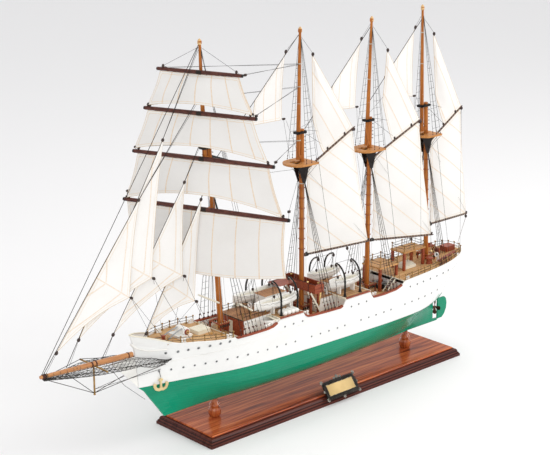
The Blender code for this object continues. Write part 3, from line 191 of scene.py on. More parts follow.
class Finish(Graph):
    def __init__(self, name, **shine):
        self.material = bpy.data.materials.new(name)
        self.material.use_nodes = True
        super().__init__(self.material.node_tree)
        self.shader = self.tree.nodes["Principled BSDF"]
        for key, value in shine.items():
            self.shader.inputs[key.replace("_", " ")].default_value = value

    def place(self):
        return self.node("ShaderNodeTexCoord", output="Object")

    def axes(self, source=None):
        split = self.node("ShaderNodeSeparateXYZ", None, [source or self.place()])
        outs = split.socket.node.outputs
        return Plug(self, outs[0]), Plug(self, outs[1]), Plug(self, outs[2])

    def attribute(self, name):
        return self.node("ShaderNodeAttribute", {"attribute_name": name}, output="Fac")

    def stretch(self, factors, source=None):
        return self.node("ShaderNodeVectorMath", {"operation": "MULTIPLY"},
            [source or self.place(), factors])

    def noise(self, factors, detail=3.0, rough=0.5, source=None, warp=0.0):
        return self.node("ShaderNodeTexNoise", None,
            {"Vector": self.stretch(factors, source), "Scale": 1.0, "Detail": detail,
            "Roughness": rough, "Distortion": warp})

    def blend(self, share, low, high):
        mixed = self.node("ShaderNodeMix", {"data_type": "RGBA"})
        made = mixed.socket.node
        for spot, value in ((made.inputs[0], share), (made.inputs[6], low), (made.inputs[7], high)):
            if isinstance(value, Plug):
                self.tree.links.new(value.socket, spot)
            else:
                spot.default_value = value if not hasattr(value, "__len__") else (*value, 1.0)
        return Plug(self, made.outputs[2])

    def ramp(self, source, stops):
        return self.node("ShaderNodeValToRGB", {"stops": stops}, [source])

    def send(self, colour=None, rough=None, relief=None, depth=0.0002, strength=0.6, **more):
        if colour is not None:
            self.tree.links.new(colour.socket, self.shader.inputs["Base Color"])
        if rough is not None:
            self.tree.links.new(rough.socket, self.shader.inputs["Roughness"])
        for key, value in more.items():
            self.tree.links.new(value.socket, self.shader.inputs[key.replace("_", " ")])
        if relief is not None:
            bump = self.node("ShaderNodeBump", None,
                {"Strength": strength, "Distance": depth, "Height": relief})
            self.tree.links.new(bump.socket, self.shader.inputs["Normal"])
        return self.material


# Finishes
shineNames = ("Roughness", "Coat_Weight", "Coat_Roughness", "Specular_IOR_Level")


def wood(name, grain, dark, middle, light, figure, *shine):
    # grain: 0 along X, 1 along Y, 2 along Z; shine: as many of shineNames as differ
    made = Finish(name, **dict(zip(shineNames, shine)))
    pores = 0.35
    across, along = 230.0 * figure, 9.0 * figure
    coarse = [across] * 3
    coarse[grain] = along
    fine = [1500.0 * figure] * 3
    fine[grain] = 45.0 * figure
    figureNoise = made.noise(coarse, detail=4.0, rough=0.55, warp=0.8)
    streaks = made.noise(fine, detail=2.0, rough=0.5)
    tone = figureNoise * (1 - pores) + streaks * pores
    colour = made.ramp(tone.step(0.30, 0.70), [(0.0, dark), (0.5, middle), (1.0, light)])
    rough = shine[0] + (streaks - 0.5) * 0.12
    return made.send(colour, rough, relief=streaks, depth=0.00006, strength=0.5)


def planks(name, width, length, dark, middle, light, seam, seamWidth=0.00035, rough=0.5):
    # laid along X, one row after another across Y
    made = Finish(name, Roughness=rough, Specular_IOR_Level=0.22)
    x, y = made.axes()[:2]
    row = (y / width).floor()
    shifted = x / length + row * 0.37
    butt = shifted.floor()
    cell = made.node("ShaderNodeCombineXYZ", None, [row, butt, 0.0])
    chance = made.node("ShaderNodeTexWhiteNoise", {"noise_dimensions": "3D"}, {"Vector": cell})
    acrossSeam = abs(y.wrap(width) - width / 2)
    seamMask = acrossSeam.step(width / 2 - seamWidth, width / 2 - seamWidth * 0.45)
    buttMask = abs(shifted.wrap(1.0) - 0.5).step(0.5 - 0.35 * seamWidth / length,
        0.5 - 0.2 * seamWidth / length)
    caulk = seamMask.most(buttMask * 0.8)
    grain = made.noise((40.0, 1300.0, 1300.0), detail=3.0)
    stain = made.noise((22.0, 30.0, 30.0), detail=3.0)
    tone = chance * 0.42 + grain * 0.38 + stain * 0.30
    body = made.ramp(tone, [(0.15, dark), (0.5, middle), (0.9, light)])
    colour = made.blend(caulk, body, seam)
    return made.send(colour, rough + grain * 0.15 - 0.07, relief=(1 - caulk) + grain * 0.2,
        depth=0.00012, strength=0.5)


def topWood(name, level):
    # a varnished plank platform whose brackets, below the level, are painted black
    made = Finish(name, Roughness=0.40, Specular_IOR_Level=0.20)
    z = made.axes()[2]
    grain = made.noise((30.0, 900.0, 900.0), detail=3.0)
    body = made.ramp(grain, [(0.25, (0.34, 0.125, 0.030)), (0.5, (0.50, 0.215, 0.060)),
        (0.75, (0.62, 0.31, 0.11))])
    colour = made.blend(z.step(level - 0.0001, level + 0.0001), (0.010, 0.006, 0.005), body)
    return made.send(colour, 0.36 + grain * 0.15, relief=grain, depth=0.00005, strength=0.5)


def lacqueredMoulding(name, hollows, edges):
    # dark lacquer, with painted shade in the moulding's hollows and a painted highlight along its
    # edges
    made = Finish(name, Roughness=0.26, Coat_Weight=0.10, Coat_Roughness=0.08,
        Specular_IOR_Level=0.10)
    z = made.axes()[2]
    figureNoise = made.noise((7.0, 150.0, 150.0), detail=4.0, rough=0.55, warp=0.6)
    body = made.ramp(figureNoise, [(0.30, (0.042, 0.008, 0.006)), (0.5, (0.072, 0.016, 0.012)),
        (0.70, (0.105, 0.026, 0.018))])
    paintedHollowShade = 1 - abs(z - hollows[0]).step(0.0004, 0.0010)
    paintedHollowShade = paintedHollowShade.most(1 - abs(z - hollows[1]).step(0.0004, 0.0011))
    paintedEdgeHighlight = 1 - abs(z - edges[0]).step(0.0001, 0.0004)
    for edge in edges[1:]:
        paintedEdgeHighlight = paintedEdgeHighlight.most(1 - abs(z - edge).step(0.0001, 0.0005))
    # painted shade darkens the hollows, then a painted highlight lightens the edges
    colour = made.blend(paintedHollowShade * 0.80, body, (0.010, 0.004, 0.003))
    colour = made.blend(paintedEdgeHighlight * 0.45, colour, (0.20, 0.062, 0.040))
    return made.send(colour, 0.24 + figureNoise * 0.08, relief=figureNoise, depth=0.00005,
        strength=0.4)


def sprayed(name, colour, shade, rough, metal=0.0, grime=0.25, coat=0.0, orange=0.15, gloss=0.5):
    # brushed or sprayed paint, a little uneven, duller where dust and handling collect
    made = Finish(name, Roughness=rough, Metallic=metal, Coat_Weight=coat, Coat_Roughness=0.08,
        Specular_IOR_Level=gloss)
    patch = made.noise((60.0, 60.0, 90.0), detail=4.0, rough=0.6)
    speck = made.noise((900.0, 900.0, 900.0), detail=2.0)
    tint = made.blend(patch.step(0.35, 0.75) * grime, colour, shade)
    return made.send(tint, rough + (patch - 0.5) * 0.14, relief=speck, depth=0.00004,
        strength=orange)


def hullPaint(name, colour, shade, line, edge=None, coat=0.55, shine=0.5):
    # gloss paint over planking: strakes follow the sheer, with a few butts and fine scratches
    made = Finish(name, Roughness=0.24, Coat_Weight=coat, Coat_Roughness=0.07, IOR=1.4,
        Specular_IOR_Level=shine)
    x, z = made.axes()[::2]
    strake = {"width": 0.0046, "butt": 0.085}
    curved = z - x * x * 0.085 + x * 0.006
    row = (curved / strake["width"]).floor()
    groove = abs(curved.wrap(strake["width"]) - strake["width"] / 2)
    seam = groove.step(strake["width"] / 2 - 0.00022, strake["width"] / 2 - 0.00006)
    run = x / strake["butt"] + row * 0.41
    butt = abs(run.wrap(1.0) - 0.5).step(0.4975, 0.4990)
    marks = seam.most(butt * 0.7)
    patch = made.noise((14.0, 14.0, 40.0), detail=4.0, rough=0.55)
    wave = made.noise((30.0, 60.0, 120.0), detail=2.0)
    scratch = made.noise((90.0, 2600.0, 2600.0), detail=1.0).step(0.71, 0.76)
    tint = made.blend(patch.step(0.35, 0.8) * 0.55, colour, shade)
    tint = made.blend(marks * 0.17, tint, line)
    tint = made.blend(scratch * 0.14, tint, line)
    if edge is not None:                # faces that look up are cream, not gloss white
        up = made.axes(made.node("ShaderNodeNewGeometry", output="Normal"))[2]
        tint = made.blend(up.step(0.55, 0.8), tint, edge)
    return made.send(tint, 0.20 + patch * 0.10 + marks * 0.2, relief=wave * 0.35 - marks,
        depth=0.00008, strength=0.20)


def sailLinen(name, spacing, tone, seams):
    # plain weave linen: cloths joined by flat double seams in peach thread, hemmed all round
    made = Finish(name, Roughness=0.88, Sheen_Weight=0.22, Sheen_Roughness=0.45,
        Specular_IOR_Level=0.25)
    panel, mitre, hem = (made.attribute(key) for key in ("panel", "mitre", "hem"))
    uv = made.node("ShaderNodeUVMap", {"uv_map": "cloth"})
    u, v = made.axes(uv)[:2]
    threads = 2 * math.pi / 0.00062          # one wave for each thread
    weave = (u * threads).sine() * (v * threads).sine()
    slub = made.noise((260.0, 2600.0, 1.0), detail=3.0, source=uv)
    slubAcross = made.noise((2600.0, 260.0, 1.0), detail=3.0, source=uv)
    cloud = made.noise((16.0, 16.0, 16.0), detail=4.0, rough=0.55)
    off = abs(panel.wrap(spacing) - spacing / 2)
    lap = off.step(spacing / 2 - 0.00105, spacing / 2 - 0.00085)
    stitched = 1 - abs(off - (spacing / 2 - 0.00040)).step(0.00030, 0.00062)
    stitched = stitched * abs(mitre).step(0.0012, 0.0020)
    mitreThread = 1 - abs(abs(mitre) - 0.0004).step(0.00030, 0.00060)
    hemThread = (1 - abs(hem - 0.0034).step(0.00026, 0.00060)) * 0.8
    doubled = lap.most(1 - hem.step(0.0034, 0.0038)).most(1 - abs(mitre).step(0.0010, 0.0013))
    thread = stitched.most(mitreThread).most(hemThread)
    run = made.noise((420.0, 420.0, 1.0), detail=1.0, source=uv).step(0.35, 0.6)
    base = made.ramp(cloud * 0.55 + slub * 0.25 + slubAcross * 0.2,
        [(0.25, [c * tone for c in (0.77, 0.75, 0.715)]),
        (0.5, [c * tone for c in (0.825, 0.81, 0.785)]),
        (0.75, [c * tone for c in (0.865, 0.855, 0.835)])])
    base = made.blend(doubled * 0.45, base, (0.835, 0.81, 0.755))
    colour = made.blend(thread * (0.34 + run * 0.22) * seams, base, (0.70, 0.46, 0.23))
    relief = doubled * 0.9 + thread * 0.35 + weave * 0.20 + slub * 0.35
    return made.send(colour, 0.84 + slub * 0.12, relief=relief, depth=0.00013, strength=0.55)


def twistedLine(name, colour, shade, pitch=0.0016):
    # laid cord: the strands show as a slanting ripple along the line
    rough = 0.8
    made = Finish(name, Roughness=rough, Specular_IOR_Level=0.3)
    along, around = made.attribute("along"), made.attribute("around")
    strand = (along * (2 * math.pi / pitch) + around * (2 * math.pi * 3)).sine()
    fuzz = made.noise((700.0, 700.0, 700.0), detail=2.0)
    # the strand ripple darkens the colour: painted shade between the strands, besides the bump
    tint = made.blend(strand * 0.32 + fuzz * 0.4 + 0.12, colour, shade)
    return made.send(tint, rough + fuzz * 0.12 - 0.05, relief=strand + fuzz * 0.4, depth=0.00006,
        strength=0.5)


clothWidth = .0275                          # of the fore and aft sails
clothWidths = (.0275, .0330, .0355, .0400)  # of the square sails, from the top down
finishTable = {
    wood: {  # grain, dark, middle and light tone, figure, then the shine
        "rosewoodPanel": (0, (0.085, 0.012, 0.006), (0.40, 0.082, 0.026), (0.68, 0.205, 0.066),
            0.45, 0.22, 0.17, 0.05, 0.08),
        "turnedRosewood": (2, (0.15, 0.022, 0.008), (0.36, 0.075, 0.020), (0.50, 0.150, 0.045),
            0.9, 0.24, 0.6, 0.05, 0.2),
        "mastVarnish": (2, (0.22, 0.062, 0.012), (0.40, 0.125, 0.022), (0.54, 0.20, 0.034),
            1.6, 0.42, 0.10, 0.2, 0.15),
        "bowspritVarnish": (0, (0.30, 0.10, 0.026), (0.50, 0.20, 0.055), (0.62, 0.29, 0.09),
            1.6, 0.32, 0.5, 0.15),
        "paleWood": (2, (0.50, 0.28, 0.10), (0.66, 0.42, 0.18), (0.76, 0.54, 0.28), 1.6, 0.40),
        "mahogany": (0, (0.13, 0.022, 0.009), (0.28, 0.054, 0.021), (0.40, 0.098, 0.038),
            1.8, 0.40, 0.12, 0.2, 0.25),
        "darkSpar": (1, (0.032, 0.009, 0.006), (0.080, 0.021, 0.014), (0.135, 0.042, 0.026),
            1.6, 0.42, 0.12, 0.25, 0.25),
        "darkBoom": (0, (0.030, 0.011, 0.007), (0.068, 0.025, 0.015), (0.120, 0.046, 0.027),
            1.6, 0.42, 0.25, 0.25),
        "darkBlock": (2, (0.014, 0.007, 0.005), (0.030, 0.014, 0.010), (0.060, 0.028, 0.018),
            2.0, 0.45),
    },
    planks: {  # width and length of a plank, dark, middle and light tone, seam, seam's width
        "deckPlanks": (0.0034, 0.064, (0.46, 0.235, 0.088), (0.62, 0.355, 0.150),
            (0.74, 0.475, 0.225), (0.055, 0.030, 0.016)),
        "topPlanks": (0.0040, 0.090, (0.40, 0.19, 0.065), (0.54, 0.28, 0.10),
            (0.64, 0.37, 0.16), (0.10, 0.045, 0.02), 0.00035, 0.42),
        "boatDeckPlanks": (0.0068, 0.110, (0.36, 0.17, 0.065), (0.50, 0.28, 0.125),
            (0.62, 0.39, 0.20), (0.035, 0.018, 0.010), 0.0006),
        "roofPlanks": (0.0052, 0.090, (0.24, 0.10, 0.038), (0.36, 0.165, 0.065),
            (0.46, 0.235, 0.105), (0.035, 0.018, 0.010), 0.0005),
    },
    topWood: {"topWoodMain": (.4102,), "topWoodMizzen": (.4072,), "topWoodJigger": (.4097,)},
    lacqueredMoulding: {"blackLacquer": ((0.0056, 0.0095), (0.0040, 0.0076, 0.0130))},
    hullPaint: {  # colour, shade, lines, upward faces, coat, gloss
        "whiteHull": ((0.86, 0.865, 0.85), (0.80, 0.80, 0.775), (0.52, 0.52, 0.50),
            (0.80, 0.765, 0.66)),
        "greenHull": ((0.004, 0.275, 0.150), (0.005, 0.215, 0.118), (0.006, 0.09, 0.05), None,
            0.16, 0.22),
    },
    sprayed: {  # colour, shade, roughness, metal, grime, coat, relief, gloss
        "whitePaint": ((0.88, 0.87, 0.83), (0.80, 0.78, 0.71), 0.38, 0.0, 0.25, 0.2),
        "creamPaint": ((0.80, 0.755, 0.62), (0.68, 0.62, 0.47), 0.45),
        "redPaint": ((0.30, 0.025, 0.018), (0.16, 0.015, 0.012), 0.35, 0.0, 0.25, 0.3),
        "blackIron": ((0.009, 0.008, 0.008), (0.022, 0.019, 0.017), 0.42, 0.0, 0.25, 0.0, 0.15,
            0.24),
        "greyGlass": ((0.045, 0.055, 0.06), (0.02, 0.025, 0.03), 0.12, 0.0, 0.25, 0.8),
        "plateBrass": ((0.47, 0.325, 0.125), (0.36, 0.235, 0.085), 0.42, 0.30, 0.45),
        "railBrass": ((0.40, 0.235, 0.075), (0.13, 0.075, 0.026), 0.42, 0.6, 0.7),
        "brightBrass": ((0.80, 0.58, 0.24), (0.45, 0.29, 0.10), 0.28, 1.0, 0.5),
        "paleBrass": ((0.78, 0.62, 0.33), (0.52, 0.36, 0.15), 0.34, 0.55, 0.5),
        "zinc": ((0.40, 0.41, 0.41), (0.22, 0.22, 0.22), 0.40, 0.6, 0.5),
        "oldBronze": ((0.10, 0.055, 0.030), (0.035, 0.022, 0.014), 0.42, 0.8, 0.7),
        "darkPewter": ((0.050, 0.043, 0.038), (0.018, 0.015, 0.013), 0.44, 0.80, 0.85, 0.0, 0.5),
        # lighter pewter for the frame's leaves: rubbed bright by wear, and a painted highlight
        "wornPewter": ((0.36, 0.33, 0.29), (0.035, 0.030, 0.026), 0.38, 0.85, 0.95, 0.0, 0.5),
    },
    sailLinen: {  # width of a cloth, tone, strength of the seams
        "sailLinen": (clothWidth, 1.0, 0.85),
        # the square sails take the same linen at a darker tone, 0.93: painted shade
        **{"squareLinen%d" % (row + 1): (clothWidths[row], 0.93, 1.25) for row in range(4)},
    },
    twistedLine: {  # colour, shade, pitch of the strands
        "tarredLine": ((0.028, 0.021, 0.017), (0.008, 0.006, 0.005), 0.0022),
        "greyLine": ((0.42, 0.405, 0.37), (0.20, 0.19, 0.17)),
        "boltRope": ((0.72, 0.56, 0.37), (0.50, 0.36, 0.21)),
        "creamLine": ((0.66, 0.61, 0.50), (0.36, 0.31, 0.23)),
        "netCord": ((0.075, 0.072, 0.068), (0.020, 0.019, 0.018), 0.0012),
    },
}
finish = {name: make(name, *row) for make, rows in finishTable.items()
    for name, row in rows.items()}

nodeFinish = {"rosewoodPanel": ["base_panel"],
    "turnedRosewood": ["pedestal_bow", "pedestal_stern"], "blackLacquer": ["base_moulding"],
    "darkPewter": ["nameplate"], "whiteHull": ["hull_topsides"],
    "greenHull": ["hull_bottom", "rudder"], "oldBronze": ["propeller"],
    "whitePaint": ["bow_knee", "boat_deck_fore", "boat_deck_aft", "lifeboat_port_fore",
    "lifeboat_starboard_fore", "lifeboat_port_aft", "lifeboat_starboard_aft"],
    "deckPlanks": ["forecastle_deck", "main_deck", "poop_deck"],
    "mahogany": ["navigation_bridge", "platform_mizzen", "platform_jigger"],
    "topWoodMain": ["top_main"], "topWoodMizzen": ["top_mizzen"], "topWoodJigger": ["top_jigger"],
    "mastVarnish": ["mast_fore", "mast_main", "mast_mizzen", "mast_jigger"],
    "bowspritVarnish": ["bowsprit"], "netCord": ["bowsprit_net"], "tarredLine": ["fore_stay"],
    "darkSpar": ["yard_1", "yard_2", "yard_3", "yard_4"],
    "darkBoom": ["boom_main", "boom_mizzen", "boom_jigger", "gaff_main", "gaff_mizzen",
    "gaff_jigger"]}


def dressNodes(table):
    for key, names in table.items():
        for name in names:
            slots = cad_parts[name].material_slots
            if not slots:
                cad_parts[name].data.materials.append(finish[key])
            for spot in slots:
                spot.material = finish[key]


dressNodes(nodeFinish)
print("stage: finishes,", len(finish))


# The shared ways of making a piece
def addPiece(name, mesh, body):
    ob = bpy.data.objects.new(name, mesh)
    bpy.context.collection.objects.link(ob)
    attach(ob, body)
    return ob


def meshOf(name, verts, faces, material, angle=40):
    mesh = bpy.data.meshes.new(name)
    mesh.from_pydata([tuple(v) for v in verts], [], [tuple(f) for f in faces])
    mesh.materials.append(material)
    if angle:
        mesh.shade_smooth()
        mesh.set_sharp_from_angle(angle=math.radians(angle))
    return mesh


def geometryTree(name, inputs):
    tree = bpy.data.node_groups.new(name, "GeometryNodeTree")
    face = tree.interface
    face.new_socket("Geometry", in_out="INPUT", socket_type="NodeSocketGeometry")
    for label, kind in inputs:
        face.new_socket(label, in_out="INPUT", socket_type=kind)
    face.new_socket("Geometry", in_out="OUTPUT", socket_type="NodeSocketGeometry")
    graph = Graph(tree)
    source = graph.node("NodeGroupInput").socket.node
    graph.given = {out.name: Plug(graph, out) for out in source.outputs if out.name}
    graph.sink = tree.nodes.new("NodeGroupOutput")
    return graph


def finishTree(graph, made):
    graph.tree.links.new(made.socket, graph.sink.inputs[0])
    return graph.tree


def lineTree():
    # a cord along every edge run, as thick as its points say
    graph = geometryTree("laidCord", [("Sides", "NodeSocketInt"), ("Finish", "NodeSocketMaterial")])
    node = graph.node
    curve = node("GeometryNodeMeshToCurve", None, {"Mesh": graph.given["Geometry"]})
    length = node("GeometryNodeSplineParameter", output="Length")
    curve = node("GeometryNodeStoreNamedAttribute", {"data_type": "FLOAT", "domain": "POINT"},
        {"Geometry": curve, "Name": "along", "Value": length})
    circle = node("GeometryNodeCurvePrimitiveCircle", None,
        {"Resolution": graph.given["Sides"], "Radius": 1.0})
    turn = node("GeometryNodeSplineParameter", output="Factor")
    circle = node("GeometryNodeStoreNamedAttribute", {"data_type": "FLOAT", "domain": "POINT"},
        {"Geometry": circle, "Name": "around", "Value": turn})
    thick = node("GeometryNodeInputNamedAttribute", {"data_type": "FLOAT"}, {"Name": "thick"})
    tube = node("GeometryNodeCurveToMesh", None,
        {"Curve": curve, "Profile Curve": circle, "Scale": thick, "Fill Caps": True})
    tube = node("GeometryNodeRealizeInstances", None, [tube])
    return finishTree(graph, node("GeometryNodeSetMaterial", None,
        {"Geometry": tube, "Material": graph.given["Finish"]}))


def repeatTree():
    # one copy of a pattern piece on every point, turned and sized by the point
    graph = geometryTree("setOut", [("Pattern", "NodeSocketObject"),
        ("Finish", "NodeSocketMaterial")])
    node = graph.node
    shape = node("GeometryNodeObjectInfo", None, {"Object": graph.given["Pattern"]}, "Geometry")
    turn = node("GeometryNodeInputNamedAttribute", {"data_type": "FLOAT_VECTOR"}, {"Name": "turn"})
    size = node("GeometryNodeInputNamedAttribute", {"data_type": "FLOAT_VECTOR"}, {"Name": "size"})
    made = node("GeometryNodeInstanceOnPoints", None,
        {"Points": graph.given["Geometry"], "Instance": shape, "Scale": size})
    made.graph.tree.links.new(turn.socket, made.socket.node.inputs["Rotation"])
    made = node("GeometryNodeRealizeInstances", None, [made])
    made = node("GeometryNodeSetMaterial", None,
        {"Geometry": made, "Material": graph.given["Finish"]})
    return finishTree(graph, made)


cordTree = lineTree()
rowTree = repeatTree()


def runTree(ob, tree, values):
    # the tree's result as a plain mesh
    step = ob.modifiers.new("make", "NODES")
    step.node_group = tree
    for item in tree.interface.items_tree:
        if item.in_out == "INPUT" and item.name in values:
            step[item.identifier] = values[item.name]
    bpy.context.view_layer.update()
    graph = bpy.context.evaluated_depsgraph_get()
    mesh = bpy.data.meshes.new_from_object(ob.evaluated_get(graph))
    ob.modifiers.remove(step)
    return mesh


def pathObject(name, runs):
    # an object whose edges run along each list of points
    verts, edges = [], []
    for points in runs:
        start = len(verts)
        verts += [tuple(p) for p in points]
        edges += [(start + i, start + i + 1) for i in range(len(points) - 1)]
    source = bpy.data.meshes.new(name + "Path")
    source.from_pydata(verts, edges, [])
    holder = bpy.data.objects.new(name + "Path", source)
    bpy.context.collection.objects.link(holder)
    return holder


def grownMesh(name, tree, holder, key, values, *others):
    # the tree run on the holder, as a named mesh in its finish; what made it goes
    mesh = runTree(holder, tree, {**values, "Finish": finish[key]})
    for ob in (holder, *others):
        bpy.data.objects.remove(ob, do_unlink=True)
    mesh.name = name
    if not len(mesh.materials):
        mesh.materials.append(finish[key])
    return mesh


def lineMesh(name, lines, key, sides):
    # lines: (points, radius) each, the radius a number or one for each point
    thick = []
    for points, radius in lines:
        thick += list(radius) if hasattr(radius, "__len__") else [radius] * len(points)
    holder = pathObject(name, [points for points, radius in lines])
    holder.data.attributes.new("thick", "FLOAT", "POINT").data.foreach_set("value", thick)
    mesh = grownMesh(name, cordTree, holder, key, {"Sides": sides})
    mesh.shade_smooth()
    return mesh


def laidLines(name, lines, key, sides=6, body="ship"):
    return addPiece(name, lineMesh(name, lines, key, sides), body)


def spot(place, aim=(0, 0, 1), size=1.0, roll=0.0, front=None):
    # where a copy goes: its +Z along aim, its +X near front, its size as one or three numbers
    up = Vector(aim).normalized()
    side = Vector(front) if front is not None else (Vector((1, 0, 0)) if abs(up.x) < 0.9
        else Vector((0, 1, 0)))
    side = (side - up * side.dot(up)).normalized()
    turned = Matrix((side, up.cross(side), up)).transposed().to_quaternion()
    if roll:
        turned = turned @ Matrix.Rotation(roll, 3, "Z").to_quaternion()
    return (tuple(place), tuple(turned.to_euler()), tuple(size) if hasattr(size, "__len__")
        else (size, size, size))


def setOut(name, pattern, spots, key, body="ship", angle=35):
    # pattern: (verts, faces); one mesh with a copy at every spot
    points = bpy.data.meshes.new(name + "Spots")
    points.from_pydata([s[0] for s in spots], [], [])
    for label, column in (("turn", 1), ("size", 2)):
        given = points.attributes.new(label, "FLOAT_VECTOR", "POINT")
        given.data.foreach_set("vector", [v for s in spots for v in s[column]])
    shape = bpy.data.objects.new(name + "Pattern",
        meshOf(name + "Pattern", *pattern, finish[key], angle))
    holder = bpy.data.objects.new(name + "Spots", points)
    for ob in (shape, holder):
        bpy.context.collection.objects.link(ob)
    mesh = grownMesh(name, rowTree, holder, key, {"Pattern": shape}, shape)
    return addPiece(name, mesh, body)


def turnedShape(profile, sides=12):
    # a lathe: profile is (radius, height) from bottom to top, closed at both ends
    verts, faces = [], []
    for radius, height in profile:
        for k in range(sides):
            a = math.tau * k / sides
            verts.append((radius * math.cos(a), radius * math.sin(a), height))
    for i in range(len(profile) - 1):
        for k in range(sides):
            n = (k + 1) % sides
            faces.append((i * sides + k, i * sides + n, (i + 1) * sides + n, (i + 1) * sides + k))
    faces.append(tuple(reversed(range(sides))))
    faces.append(tuple((len(profile) - 1) * sides + k for k in range(sides)))
    return verts, faces


def boxShape(low, high, chamfer=0.0):
    # a block, with its edges taken off by the chamfer
    bm = bmesh.new()
    bmesh.ops.create_cube(bm, size=1.0)
    for v in bm.verts:
        v.co = Vector([low[k] + (high[k] - low[k]) * (v.co[k] + 0.5) for k in range(3)])
    if chamfer:
        bmesh.ops.bevel(bm, geom=list(bm.edges), offset=chamfer, segments=2, affect="EDGES",
            clamp_overlap=True)
    bmesh.ops.recalc_face_normals(bm, faces=bm.faces)
    bm.verts.index_update()
    verts = [tuple(v.co) for v in bm.verts]
    faces = [tuple(v.index for v in f.verts) for f in bm.faces]
    bm.free()
    return verts, faces


def loftShape(rings, closed=True, caps=True):
    # rings of points, one after another
    count = len(rings[0])
    verts = [tuple(p) for ring in rings for p in ring]
    faces = []
    for i in range(len(rings) - 1):
        for j in range(count if closed else count - 1):
            k = (j + 1) % count
            faces.append((i * count + j, i * count + k, (i + 1) * count + k, (i + 1) * count + j))
    if caps:
        faces.append(tuple(reversed(range(count))))
        faces.append(tuple((len(rings) - 1) * count + j for j in range(count)))
    return verts, faces


def gather(shapes):
    # several (verts, faces) as one
    verts, faces = [], []
    for moreVerts, moreFaces in shapes:
        start = len(verts)
        verts += moreVerts
        faces += [tuple(start + i for i in face) for face in moreFaces]
    return verts, faces


def shifted(shape, move=(0, 0, 0), matrix=None):
    verts, faces = shape
    if matrix is not None:
        verts = [tuple(matrix @ Vector(v)) for v in verts]
    return [tuple(Vector(v) + Vector(move)) for v in verts], faces


def pieceFrom(name, shapes, key):
    # one joined mesh with outward faces, from one shape or a list of them
    mesh = meshOf(name, *(gather(shapes) if isinstance(shapes, list) else shapes), finish[key], 0)
    bm = bmesh.new()
    bm.from_mesh(mesh)
    bmesh.ops.recalc_face_normals(bm, faces=bm.faces)
    bm.to_mesh(mesh)
    bm.free()
    mesh.shade_smooth()
    mesh.set_sharp_from_angle(angle=math.radians(35))
    return addPiece(name, mesh, "ship")


bothSides = ((-1, "Port"), (1, "Starboard"))
boatDeckRise = .0017                        # of a boat deck over the sheer


# The ship's own lines, as the solids have them
ship = {
    "seaLine": (0.1041, -0.0142),       # height at x = 0, rise for each metre aft
    "bow": -0.403, "stern": 0.366, "stem": -0.389, "counter": 0.325,
    "rigRest": math.radians(9.0), "yardRest": math.radians(22.0), "yardAhead": 0.0085,
}
sheerTable = [(-.403, .2000), (-.385, .1955), (-.365, .1890), (-.348, .1825), (-.332, .1780),
    (-.300, .1752), (-.270, .1712), (-.250, .1690), (-.233, .1672), (-.2295, .1650),
    (-.200, .1640), (-.165, .1638), (-.152, .1652), (-.143, .1690), (-.138, .1735), (-.084, .1728),
    (-.081, .1690), (-.074, .1640), (-.066, .1628), (-.030, .1610), (.004, .1602), (.011, .1640),
    (.0155, .1713), (.0760, .1713), (.0795, .1640), (.084, .1600), (.110, .1590), (.140, .1605),
    (.154, .1640), (.164, .1708), (.200, .1722), (.250, .1738), (.285, .1755), (.315, .1775),
    (.340, .1792), (.356, .1803), (.366, .1810)]
deckBreadth = [(-.403, .0016), (-.396, .0070), (-.385, .0130), (-.365, .0215), (-.345, .0295),
    (-.328, .0355), (-.307, .0420), (-.288, .0475), (-.265, .0515), (-.230, .0535), (-.150, .0540),
    (.100, .0540), (.200, .0525), (.260, .0485), (.300, .0430), (.330, .0345), (.350, .0240),
    (.361, .0130), (.366, .0030)]
waterBreadth = [(-.389, .0016), (-.360, .0085), (-.330, .0150), (-.303, .0215), (-.270, .0300),
    (-.240, .0375), (-.210, .0435), (-.160, .0480), (-.110, .0500), (0, .0515), (.100, .0513),
    (.200, .0465), (.240, .0385), (.270, .0280), (.300, .0150), (.315, .0070), (.325, .0022)]
deckTables = {"forecastle": [(-.400, .1815), (-.330, .1768), (-.270, .1706), (-.2325, .1664)],
    "main": [(-.229, .1515), (-.05, .1495), (.163, .1500)]}
masts = {  # foot x, z, head x, z of the lower mast and of the topmast, and the radius
    "fore": {"lower": (-.2182, .1669, -.2392, .4760), "top": (-.2470, .4500, -.2546, .6411),
             "radius": .0046},
    "main": {"lower": (-.0370, .1498, -.0385, .4680), "top": (-.0470, .4180, -.0436, .6361),
             "radius": .0046},
    "mizzen": {"lower": (.1222, .1503, .1228, .4640), "top": (.1155, .4150, .1228, .6357),
               "radius": .0044},
    "jigger": {"lower": (.2780, .1756, .2655, .4690), "top": (.2562, .4180, .2500, .6426),
               "radius": .0043},
}


def tableAt(rows, x):
    places = [r[0] for r in rows]
    i = min(max(bisect.bisect_right(places, x) - 1, 0), len(rows) - 2)
    (x0, y0), (x1, y1) = rows[i], rows[i + 1]
    t = min(max((x - x0) / (x1 - x0), 0.0), 1.0)
    return y0 + (y1 - y0) * t


def smoothAt(rows, x):
    # a monotone cubic through the rows
    xs, ys = [r[0] for r in rows], [r[1] for r in rows]
    slopes = [(ys[i + 1] - ys[i]) / (xs[i + 1] - xs[i]) for i in range(len(xs) - 1)]
    lean = [slopes[0]]
    for a, b in zip(slopes, slopes[1:]):
        lean.append(0.0 if a * b <= 0 else 2 * a * b / (a + b))
    lean.append(slopes[-1])
    x = min(max(x, xs[0]), xs[-1])
    i = min(max(bisect.bisect_right(xs, x) - 1, 0), len(xs) - 2)
    h = xs[i + 1] - xs[i]
    t = (x - xs[i]) / h
    return ((1 + 2 * t) * (1 - t) ** 2 * ys[i] + t * (1 - t) ** 2 * h * lean[i] + t * t
        * (3 - 2 * t) * ys[i + 1] + t * t * (t - 1) * h * lean[i + 1])


def sheerAt(x):
    return tableAt(sheerTable, x)


def deckHalf(x):
    return smoothAt(deckBreadth, x)


